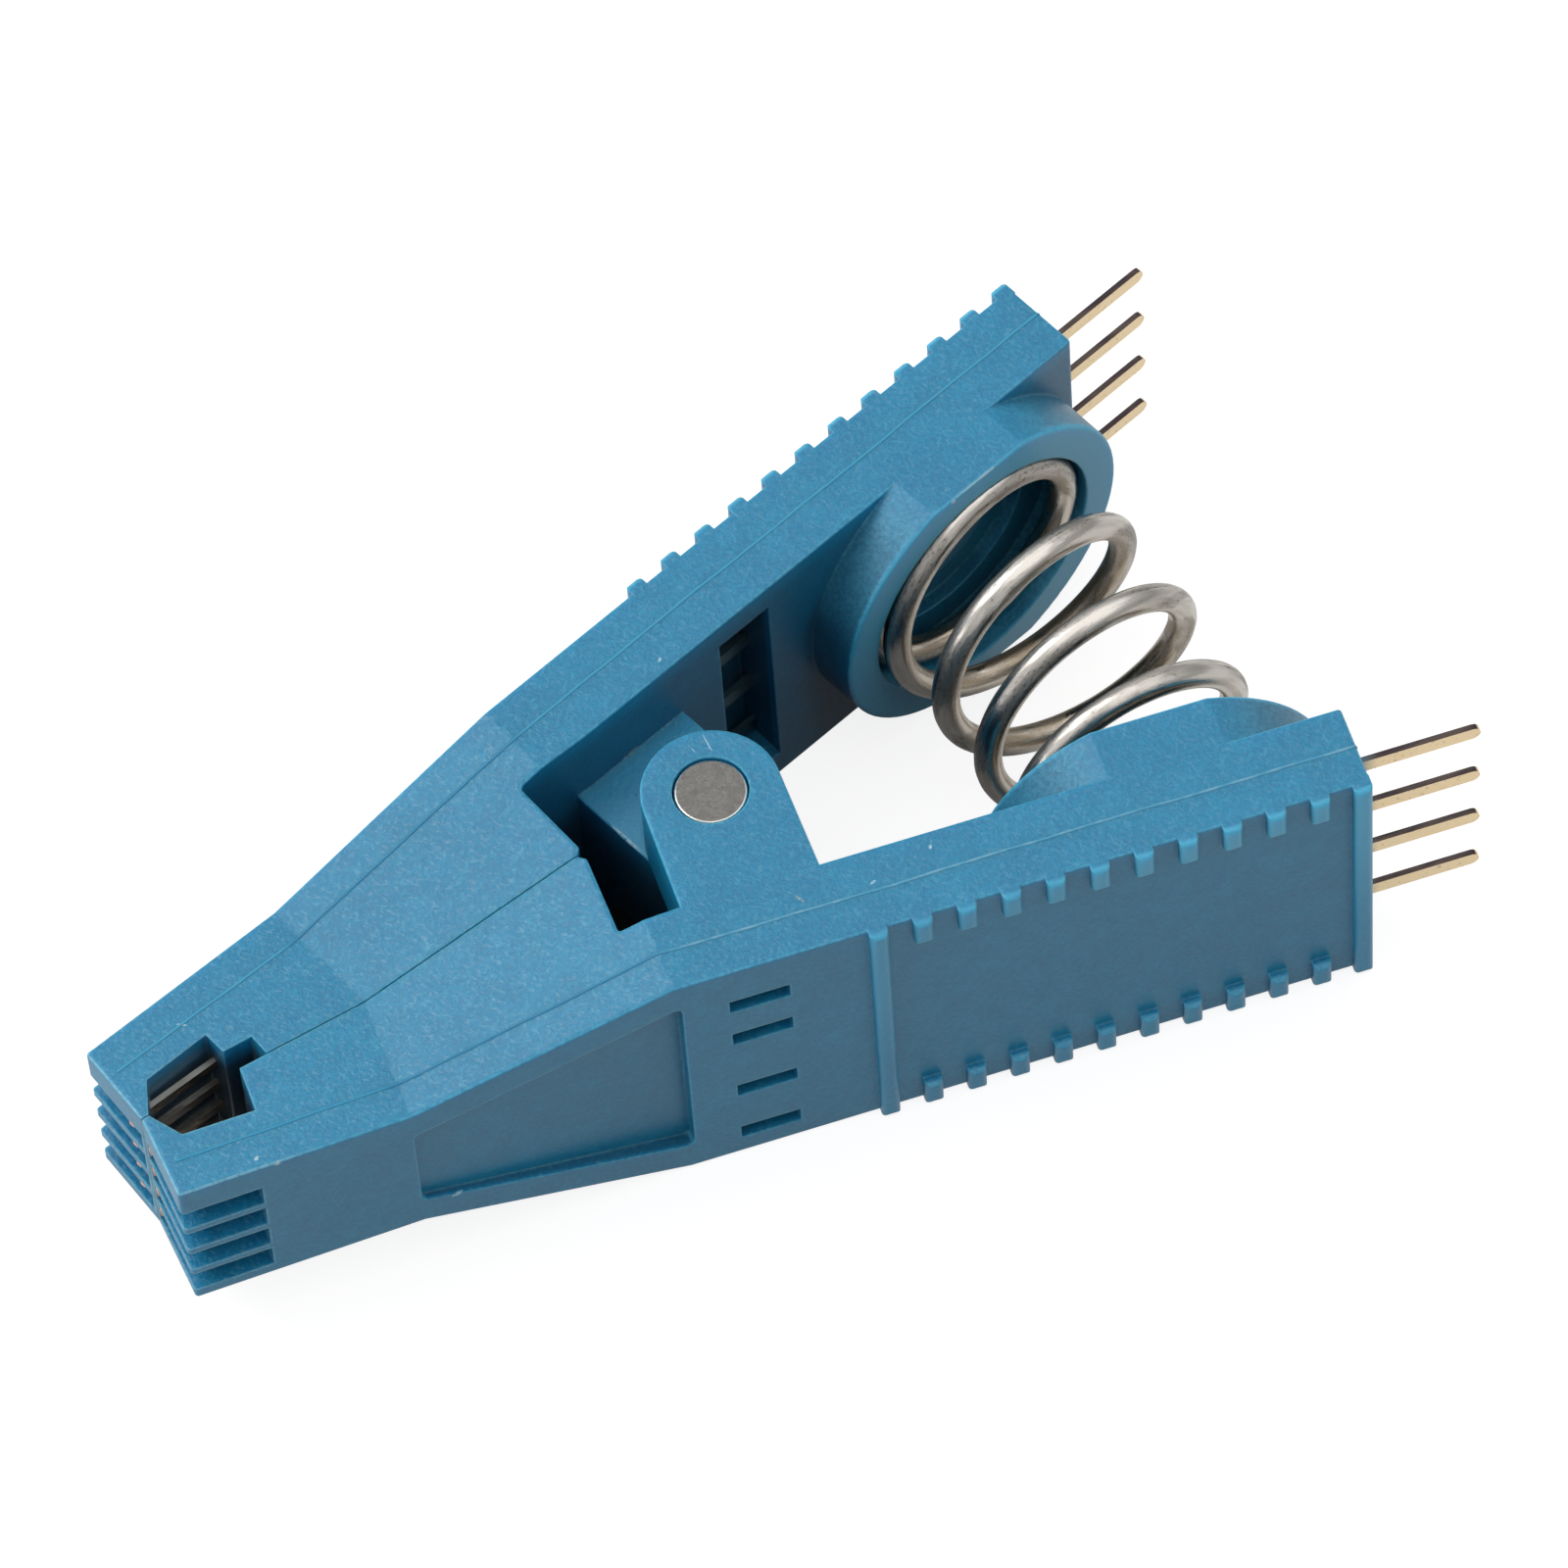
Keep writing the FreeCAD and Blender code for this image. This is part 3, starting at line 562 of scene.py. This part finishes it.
def shaded_hollows(axes):
    """Painted shade: fully on the chip pocket's walls, and in each other hollow by its own strength."""
    along, outward, x, aside, z = axes
    past_rim = outward - CUP_RIM_LINE
    from_axis = (along - CUP_DISTANCE) * (along - CUP_DISTANCE) + (z - MIDDLE_Z) * (z - MIDDLE_Z)
    in_bore = from_axis.ramp((1.05 * CUP_BORE_RADIUS) ** 2, (0.97 * CUP_BORE_RADIUS) ** 2)

    pocket = x.span(-20.5, -20.2, -16.8, -16.4) * aside.rise(1.78, 1.68) * z.rise(8.5, 7.6)
    window = along.span(4.05, 4.25, 6.3, 6.5) * outward.span(4.0, 4.4, 6.5, 6.7) * z.span(1.1, 1.3, 9.8, 10.0)
    bore = in_bore * past_rim.rise(0.1, 1.8) * outward.rise(5.5, 5.2) * (0.42 + 0.52 * z.rise(4.0, 8.0))
    flank = ((1 - in_bore) * past_rim.rise(0.05, 0.25) * along.rise(7.5, 8.2) * outward.rise(4.0, 3.85)
             * z.rise(11.1, 10.2))
    vents = along.span(-1.6, -1.5, 0.5, 0.6) * outward.span(4.6, 5.0, 5.9, 6.6) * z.span(0.4, 0.7, 10.0, 10.5)
    slots = x.span(-20.75, -20.4, -17.4, -16.9) * aside.rise(3.1, 2.2) * z.span(2.6, 2.9, 8.2, 8.5)
    crook = along.span(6.6, 8.4, 9.4, 11.6) * outward.span(1.5, 3.2, 4.05, 4.3) * z.rise(10.2, 6.5)
    gap = x.span(-6.4, -5.6, -2.2, -1.2) * aside.rise(4.4, 3.8) * z.rise(8.8, 6.2)
    inner = along.rise(-5.0, -3.5) * outward.span(3.5, 3.75, 4.05, 4.3) * z.rise(11.0, 10.0)
    return strongest(pocket, 0.8 * window, bore, 0.6 * flank, 0.9 * vents, 0.5 * slots, 0.8 * crook,
                     0.9 * gap, 0.42 * inner)


def panel_shade(axes, flat):
    """Darkened on the panel sunk in the jaw's outer face: more towards the knee and low down, and most along
    its ledge. Depth runs in from the outer face, and margin from the arm's upper or lower edge."""
    _, _, x, aside, z = axes
    from_tip = x - HINGE_X + TIP_DISTANCE
    depth = TIP_HALF_WIDTH + JAW_LEAN * from_tip - aside
    margin = TIP_HALF_HEIGHT + TAPER_RISE * (from_tip - TAPER_FOOT) - abs(z - MIDDLE_Z)
    inside = depth.span(0.06, 0.20, 0.56, 0.64) * margin.rise(0.9, 1.1) * x.span(-14.1, -13.8, -5.1, -4.9)
    far = x.rise(-10.5, -5.6) * (0.45 + 0.55 * z.rise(9.0, 3.0))
    return inside * strongest(0.04 + 0.16 * far, 0.45 * flat)


def scar_finish(settings):
    """The raised line: paler than the plastic, dark over the sloped part of the jaw as painted shade where
    its sides catch less sheen, and fainter on the tongue side."""
    made, nodes = material("parting_line")
    point = nodes.place()
    x = nodes.part(point, 0)
    wear_and_highlight = nodes.noise(point, 0.45 * MM, 4.0).ramp(0.36, 0.68)
    sloped = x.span(-14.6, -13.8, -5.4, -4.2)
    tongue = nodes.part(point, 1).rise(-0.5, 0.5)
    faint = strongest(tongue, x.rise(-3.0, -10.0))
    paler = nodes.mix((0.12 + 0.28 * wear_and_highlight) * (1 - 0.7 * faint), settings.body, settings.scuffs_and_glints)
    plain = nodes.mix(0.28 * tongue, settings.body, settings.wear_and_highlight)
    quiet = nodes.mix(0.1 + 0.6 * faint, paler, plain)
    # Painted shade on the line over the sloped part of the jaw
    tinted = nodes.mix(0.9 * sloped, quiet, settings.deep_tone_and_shade)
    finish(nodes, Base_Color=tinted, Roughness=0.5)
    return made


def spring_finish(settings):
    """Drawn steel wire: dull mottled stretches along it, a tan film on the coil's inner side, and specks."""
    made, nodes = material("spring_steel")
    wrap = nodes.node("UVMap", {"uv_map": "wrap"})
    half_round = math.pi * settings.wire / 2
    inner = abs(nodes.part(wrap, 1) - half_round).ramp(0.8 * half_round, 0.15 * half_round)
    streak = nodes.noise(nodes.stretched(wrap, (0.12, 1.0, 1.0)), 0.30 * MM, 3.0).ramp(0.40, 0.66)
    dull = nodes.noise(nodes.stretched(wrap, (0.30, 1.0, 1.0)), 0.9 * MM, 4.0, 0.6).ramp(0.47, 0.58)
    speck = nodes.noise(nodes.stretched(wrap, (0.5, 1.0, 1.0)), 0.08 * MM, 3.0)
    pitted = speck.ramp(0.54, 0.66) * (0.15 + 0.85 * dull)
    steel = nodes.mix(0.35 * streak + 0.30 * dull + 0.4 * pitted, settings.light, settings.dark)
    filmed = nodes.mix(0.6 * inner * (0.5 + 0.5 * streak), steel, settings.film)
    rough = 0.23 + 0.05 * streak + 0.20 * dull
    finish(nodes, Base_Color=filmed, Metallic=1.0, Roughness=rough,
           Normal=nodes.bump(0.4 * streak + speck * (0.25 + 0.75 * dull), 0.012 * MM))
    return made


def pin_finish(settings):
    """Cropped dowel end: grey steel with small dull patches."""
    made, nodes = material("pin_steel")
    point = nodes.place()
    patch = nodes.noise(point, 0.30 * MM, 4.0, 0.6).ramp(0.38, 0.64)
    speck = nodes.noise(point, 0.09 * MM, 3.0).ramp(0.48, 0.68)
    flat = nodes.upright().ramp(0.9, 0.98)
    steel = nodes.mix((0.45 * patch + 0.45 * speck) * flat, settings.pin_light, settings.pin_dark)
    polished = nodes.mix(flat, settings.pin_rim, steel)
    pits = nodes.noise(point, 0.1 * MM, 3.0) + 0.8 * nodes.noise(point, 0.3 * MM, 3.0)
    rough = 0.24 + 0.10 * patch
    finish(nodes, Base_Color=polished, Metallic=0.9, Roughness=rough, Normal=nodes.bump(pits, 0.010 * MM))
    return made


def contact_finish(settings):
    """Stamped and plated strip: gold sides and dark sheared edges at the tail, painted shade inside the arms,
    and tarnish with painted shade in the chip pocket, with silver edges there and copper where the tip was
    cut."""
    made, nodes = material("contact_gold")
    point = nodes.place()
    upright = nodes.upright()
    x = nodes.part(point, 0)
    tail = x.rise(17.2, 18.2)
    pocket = x.rise(-13.6, -14.6)
    tip = x.rise(-20.3, -20.7)
    cloud = nodes.noise(nodes.stretched(point, (0.25, 1.0, 1.0)), 0.35 * MM, 4.0).ramp(0.38, 0.64)
    drawn = nodes.noise(nodes.stretched(point, (0.06, 1.0, 1.0)), 0.07 * MM, 3.0)
    edge = upright.ramp(0.6, 0.85)
    chipped = nodes.noise(point, 0.14 * MM, 3.0).ramp(0.60, 0.72) * (1 - edge)
    dark_edge = strongest(edge * (0.96 + 0.04 * cloud), 0.4 * chipped)
    plated = nodes.mix(dark_edge, settings.gold, settings.sheared)
    # Tarnish and painted shade in the chip pocket, painted shade elsewhere inside the arms
    tarnish_and_shade = nodes.mix(drawn.ramp(0.54, 0.68) * 0.7, settings.inner, settings.streak)
    hidden = nodes.mix(pocket, settings.inside_shade, tarnish_and_shade)
    bared = nodes.mix(edge * pocket * (0.6 + 0.4 * cloud), hidden, settings.bare)
    metal = nodes.mix(tip, nodes.mix(tail, bared, plated), settings.copper)
    rough = 0.28 + 0.10 * cloud + 0.14 * edge
    finish(nodes, Base_Color=metal, Metallic=0.9, Roughness=rough, Normal=nodes.bump(drawn, 0.005 * MM))
    return made


class CLIP_OT_moulding(bpy.types.Operator):
    """Give both arms their moulded finish"""

    bl_idname = "clip.moulding"
    bl_label = "Dress the Arms"

    def execute(self, context):
        plastic = moulding_finish(settings_of(context, "moulding"))
        for node in ("clevis_arm", "tongue_arm"):
            paint(node, plastic)
        return {"FINISHED"}


class CLIP_OT_parting_lines(bpy.types.Operator):
    """Add the raised line that the mould's halves left round each arm"""

    bl_idname = "clip.parting_lines"
    bl_label = "Add the Parting Lines"

    def execute(self, context):
        sizes = settings_of(context, "parting")
        plastic = scar_finish(settings_of(context, "moulding"))
        for body, side in SIDES.items():
            piece = grid_mesh(body.replace("_side", "_parting_line"), parting_line(sizes, side))
            piece.data.materials.append(plastic)
            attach(piece, body)
        return {"FINISHED"}


def parting_path(sizes):
    """Points of the line on one arm, and the direction that stands up from the surface at each.

    On top it follows the outer face, at the height of the arm: level at the tip, rising over the taper and
    level again to the tail's end. There it turns over the edge on a quarter circle, runs down the end face
    and comes back underneath as the top turned over.
    """
    run = np.linspace(LINE_CLEARANCE, JAW_LENGTH, JAW_STEPS)
    inset = sizes.tip_inset + (sizes.inset - sizes.tip_inset) * run / JAW_LENGTH
    jaw_plan = TIP + run[:, None] * JAW_ALONG - inset[:, None] * JAW_OUT
    rise = np.clip((run - JAW_LENGTH + TAPER_LENGTH) / TAPER_LENGTH, 0, 1)
    growth = TAIL_HALF_HEIGHT - TIP_HALF_HEIGHT
    jaw_z = TIP_HALF_HEIGHT + growth * rise
    tilt = math.atan2(growth, TAPER_LENGTH) * ((rise > 0) & (rise < 1))
    jaw_up = np.column_stack([-np.sin(tilt)[:, None] * JAW_ALONG, np.cos(tilt)])

    last = TAIL_LENGTH - EDGE_ROUND
    line = (TAIL_OUTER - sizes.inset) * TAIL_OUT
    tail_run = np.linspace(LINE_CLEARANCE - KNEE_DISTANCE, last, TAIL_STEPS)
    tail_plan = tail_run[:, None] * TAIL_ALONG + line
    tail_z = np.full(len(tail_run), TAIL_HALF_HEIGHT)
    tail_up = np.tile([0.0, 0.0, 1.0], (len(tail_run), 1))

    turn = np.linspace(0, math.pi / 2, CORNER_STEPS)[1:]
    corner_plan = (last + EDGE_ROUND * np.sin(turn))[:, None] * TAIL_ALONG + line
    corner_z = TAIL_HALF_HEIGHT - EDGE_ROUND * (1 - np.cos(turn))
    corner_up = np.column_stack([np.sin(turn)[:, None] * TAIL_ALONG, np.cos(turn)])

    down = np.linspace(TAIL_HALF_HEIGHT - EDGE_ROUND, 0, END_STEPS)[1:]
    end_plan = np.tile(TAIL_LENGTH * TAIL_ALONG + line, (len(down), 1))
    end_up = np.tile([TAIL_ALONG[0], TAIL_ALONG[1], 0.0], (len(down), 1))

    plan = np.concatenate([jaw_plan, tail_plan, corner_plan, end_plan])
    height = np.concatenate([jaw_z, tail_z, corner_z, down])
    upward = np.concatenate([jaw_up, tail_up, corner_up, end_up])
    points = np.column_stack([plan, height])
    turned_over = np.array([1.0, 1.0, -1.0])
    return (np.concatenate([points, points[-2::-1] * turned_over]),
            np.concatenate([upward, upward[-2::-1] * turned_over]))


def parting_line(sizes, side):
    """Low ridge with a rounded top, carried along the line. Its sideways stray is a sum of slow waves."""
    points, upward = parting_path(sizes)
    forward = unit(np.gradient(points, axis=0))
    across = unit(np.cross(forward, upward))
    upward = np.cross(across, forward)
    gone = distance_gone(points)
    stray = sum(strength * np.sin(gone / size + shift) for size, shift, strength in STRAY_WAVES) / 2
    points = points + across * (stray * sizes.wander)[:, None]
    turn = np.linspace(0, math.pi, RIDGE_POINTS)
    profile = np.column_stack([-sizes.width / 2 * np.cos(turn), sizes.height * np.sin(turn)])
    sunk = np.array([[sizes.width / 2, -sizes.height], [-sizes.width / 2, -sizes.height]])
    rows = carried(points, across, upward, np.concatenate([profile, sunk]))
    rows[..., 1] *= side
    return rows + np.array([HINGE_X, 0.0, MIDDLE_Z])


class CLIP_OT_spring(bpy.types.Operator):
    """Draw the spring as one smooth wire between the two cups"""

    bl_idname = "clip.spring"
    bl_label = "Add the Spring"

    def execute(self, context):
        sizes = settings_of(context, "spring")
        points, uv, follow = spring_surface(sizes)
        piece = grid_mesh("spring_wire", points, uv, follow)
        piece.data.materials.append(spring_finish(sizes))
        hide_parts("coil_spring")
        ends = [spring_axis(sizes, end)[0] for end in (-1.0, 1.0)]
        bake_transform(piece, "clevis_side", "tongue_side", start=ends[0], end=ends[1])
        follow_by_ring(piece.data)
        return {"FINISHED"}


def follow_by_ring(mesh):
    """Let each ring of the wire follow the hinge as a whole, so that the wire stays round."""
    rings = mesh.attributes["follow"]
    weights = np.zeros(len(mesh.vertices), np.float32)
    rings.data.foreach_get("value", weights)
    mesh.attributes["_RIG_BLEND"].data.foreach_set("value", weights)
    mesh.attributes.remove(rings)


def spring_arc(sizes):
    """Where the coil's axis meets its seat on the tongue side, in plan, and the radius of the axis's arc."""
    end = sizes.distance * TAIL_ALONG + sizes.seat * TAIL_OUT
    return end, end[1] / TAIL_ALONG[1]


def spring_axis(sizes, share_of_half):
    """Centre of the coil and its outward direction, at a share of the half length from mid spring.

    The axis is an arc that leaves both seats square: its centre lies on the closing plane, and it turns by
    the tail's lean on each side of that plane.
    """
    end, radius = spring_arc(sizes)
    lean = SPREAD * np.asarray(share_of_half, float)
    outward = np.stack([np.cos(lean), np.sin(lean), np.zeros_like(lean)], -1)
    centre = np.array([end[0] - radius * TAIL_OUT[1] + sizes.side_play + HINGE_X, 0.0, MIDDLE_Z])
    return centre + radius * outward, outward


def spring_surface(sizes):
    """Round wire wound round the bent axis.

    The wire's centre turns about the axis at the coil's mean radius. The distance gone along the axis grows
    by the full pitch for each active turn, by a pitch that falls off steadily over the run-in, and by one
    wire's thickness for each closed turn. Rings of points stand square to the wire, and both ends are domed.
    A ring follows the hinge by its share of all the space between the turns, so closed turns stay closed.
    """
    turn = np.linspace(sizes.turns / 2, -sizes.turns / 2, WIRE_RINGS)
    away = np.abs(turn)
    half_length = spring_arc(sizes)[1] * SPREAD
    active = sizes.turns / 2 - sizes.closed - sizes.run_in
    closed_length = sizes.wire * (sizes.closed + sizes.run_in / 2)
    pitch = (half_length - closed_length) / (active + sizes.run_in / 2)
    run = np.clip(away - active, 0, sizes.run_in)
    gone = pitch * np.minimum(away, active) + pitch * run
    gone -= (pitch - sizes.wire) * run ** 2 / (2 * sizes.run_in)
    gone += sizes.wire * np.clip(away - active - sizes.run_in, 0, None)

    centre, outward = spring_axis(sizes, np.copysign(gone / half_length, turn))
    angle = sizes.start + 2 * math.pi * (sizes.turns / 2 - turn)
    mean_radius = (sizes.outside - sizes.wire) / 2
    upward = np.array([0.0, 0.0, 1.0])
    wire = centre + outward * (mean_radius * np.cos(angle))[:, None]
    wire = wire + upward * (mean_radius * np.sin(angle))[:, None]
    forward = unit(np.gradient(wire, axis=0))
    away_from_axis = unit(wire - centre)
    away_from_axis = unit(away_from_axis - forward * np.sum(away_from_axis * forward, 1)[:, None])
    beside = np.cross(forward, away_from_axis)

    length_gone = distance_gone(wire)
    to_end = np.minimum(length_gone, length_gone[-1] - length_gone)
    full = np.clip(to_end / (sizes.wire / 2 * DOME_REACH), 0, 1)
    radius = sizes.wire / 2 * np.sqrt(1 - (1 - full) ** 2)
    around = np.arange(WIRE_POINTS) * 2 * math.pi / WIRE_POINTS
    ring = (np.cos(around)[None, :, None] * away_from_axis[:, None, :]
            + np.sin(around)[None, :, None] * beside[:, None, :])
    points = wire[:, None, :] + radius[:, None, None] * ring
    gone_round = np.arange(WIRE_POINTS + 1) / WIRE_POINTS * math.pi * sizes.wire
    uv = np.stack(np.broadcast_arrays(length_gone[:, None], gone_round[None, :]), -1)
    space = gone - sizes.wire * away
    return points, uv, (1 + np.copysign(space / space.max(), turn)) / 2


class CLIP_OT_pin(bpy.types.Operator):
    """Give the hinge pin its finish"""

    bl_idname = "clip.pin"
    bl_label = "Dress the Pin"

    def execute(self, context):
        paint("hinge_pin", pin_finish(settings_of(context, "metal")))
        return {"FINISHED"}


class CLIP_OT_contacts(bpy.types.Operator):
    """Give the eight contact strips their finish"""

    bl_idname = "clip.contacts"
    bl_label = "Dress the Contacts"

    def execute(self, context):
        metal = contact_finish(settings_of(context, "metal"))
        for node in sorted(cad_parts):
            if "_contact_" in node:
                paint(node, metal)
        return {"FINISHED"}


class CLIP_OT_studio(bpy.types.Operator):
    """Set the pale floor, the soft lights and the camera"""

    bl_idname = "clip.studio"
    bl_label = "Set the Studio"

    def execute(self, context):
        settings = settings_of(context, "studio")
        add_floor(settings)
        add_world(context, settings)
        for name, (direction, distance, size) in SOFTBOXES.items():
            add_softbox(name + "_softbox", getattr(settings, name), direction, distance, size)
        add_camera(context)
        context.scene.view_settings.view_transform = "Standard"
        return {"FINISHED"}


def add_floor(settings):
    """Floor that the camera sees lifted to white, and gloss in part. It keeps the clip's shadow. Between the
    arms a painted shade makes it throw little light back and mirror less, and under the hinge a painted
    shadow makes it dark."""
    half = settings.span / 2
    mesh = bpy.data.meshes.new("floor")
    corners = [(-half, -half), (half, -half), (half, half), (-half, half)]
    mesh.from_pydata([(x, y, FLOOR_LEVEL) for x, y in corners], [], [(0, 1, 2, 3)])
    floor = bpy.data.objects.new("floor", mesh)
    bpy.context.scene.collection.objects.link(floor)
    made, nodes = material("floor")
    point = nodes.place()
    _, outward, x, _, _ = arm_axes(nodes, point)
    # Painted shade between the arms and a painted shadow under the hinge
    between = outward.rise(6.0, 4.0) * x.span(-22.0, -18.0, 10.5, 13.5)
    under = nodes.mark(point, SPOT_CENTRE, (SPOT_RADIUS, SPOT_RADIUS, 1.0), 0.0)
    camera = nodes.shown_to("Camera", "Transmission")
    seen = camera * settings.seen_floor * (1 - under)
    mirrored = nodes.shown_to("Glossy") * settings.mirrored_floor * (1 - 0.75 * between) * (1 - under)
    glow = nodes.mix(seen + mirrored, BLACK, WHITE)
    dimmed = between * (1 - camera) + camera * under
    tone = nodes.mix(dimmed.math("MINIMUM", 1.0), settings.floor, settings.shade)
    finish(nodes, Base_Color=tone, Roughness=1.0, Specular_IOR_Level=0.0, Emission_Color=glow,
           Emission_Strength=1.0)
    mesh.materials.append(made)


def add_world(context, settings):
    """White where the camera sees it, even light on the clip, and for gloss a white sky, darker low down."""
    world = bpy.data.worlds.new("studio")
    context.scene.world = world
    world.use_nodes = True
    nodes = Nodes(world.node_tree)
    height = nodes.part(nodes.node("TexCoord", output="Generated"), 2)
    sky = settings.horizon + (1 - settings.horizon) * height.ramp(0.0, 0.85)
    seen = nodes.shown_to("Camera", "Transmission")
    mirrored = nodes.shown_to("Glossy")
    strength = (1 - seen) * ((1 - mirrored) * settings.world + mirrored * sky) + seen
    light = nodes.node("Background", None, {"Color": solid(WHITE), "Strength": strength})
    nodes.node("OutputWorld", None, {"Surface": light})


def add_softbox(name, watts, direction, distance, size):
    """Square area lamp that looks at the clip from a direction."""
    lamp = bpy.data.lights.new(name, "AREA")
    lamp.energy = watts
    lamp.size = size
    holder = bpy.data.objects.new(name, lamp)
    away = Vector(direction).normalized()
    holder.location = away * distance
    holder.rotation_euler = (-away).to_track_quat("-Z", "Y").to_euler()
    bpy.context.scene.collection.objects.link(holder)


def add_camera(context):
    """Camera at the place and angle of the photograph, fitted to the arms' corners."""
    right = (0.861128, -0.506514, -0.043611)
    upward = (0.452106, 0.723739, 0.521347)
    backward = (-0.232506, -0.468663, 0.852230)
    place = (-0.083037, -0.171476, 0.320511)
    data = bpy.data.cameras.new("camera")
    data.sensor_width = 36.0
    data.lens = 266.79
    data.clip_start = 0.01
    data.clip_end = 20.0
    camera = bpy.data.objects.new("camera", data)
    camera.matrix_world = Matrix(tuple(zip(right, upward, backward, place)) + ((0.0, 0.0, 0.0, 1.0),))
    context.scene.collection.objects.link(camera)
    context.scene.camera = camera


class CLIP_PT_panel(bpy.types.Panel):
    """The steps that build the clip, and its sizes and colours"""

    bl_idname = "CLIP_PT_panel"
    bl_label = "Chip Test Clip"
    bl_space_type = "VIEW_3D"
    bl_region_type = "UI"
    bl_category = "Test Clip"

    def draw(self, context):
        for operator in STEPS:
            self.layout.operator(operator.bl_idname)
        for name, group in GROUPS.items():
            box = self.layout.box()
            box.label(text=name.capitalize())
            for field in group.__annotations__:
                box.prop(settings_of(context, name), field)


GROUPS = {"moulding": MouldingSettings, "parting": PartingSettings, "spring": SpringSettings,
          "metal": MetalSettings, "studio": StudioSettings}
STEPS = (CLIP_OT_moulding, CLIP_OT_parting_lines, CLIP_OT_spring, CLIP_OT_pin, CLIP_OT_contacts,
         CLIP_OT_studio)


def register():
    for made in tuple(GROUPS.values()) + STEPS + (CLIP_PT_panel,):
        bpy.utils.register_class(made)
    for name, group in GROUPS.items():
        setattr(bpy.types.Scene, "clip_" + name, PointerProperty(type=group))


def unregister():
    for name in GROUPS:
        delattr(bpy.types.Scene, "clip_" + name)
    for made in (CLIP_PT_panel,) + STEPS + tuple(GROUPS.values()):
        bpy.utils.unregister_class(made)


def main():
    register()
    bpy.ops.clip.moulding()
    bpy.ops.clip.parting_lines()
    bpy.ops.clip.spring()
    bpy.ops.clip.pin()
    bpy.ops.clip.contacts()
    bpy.ops.clip.studio()


if __name__ == "__main__":
    main()
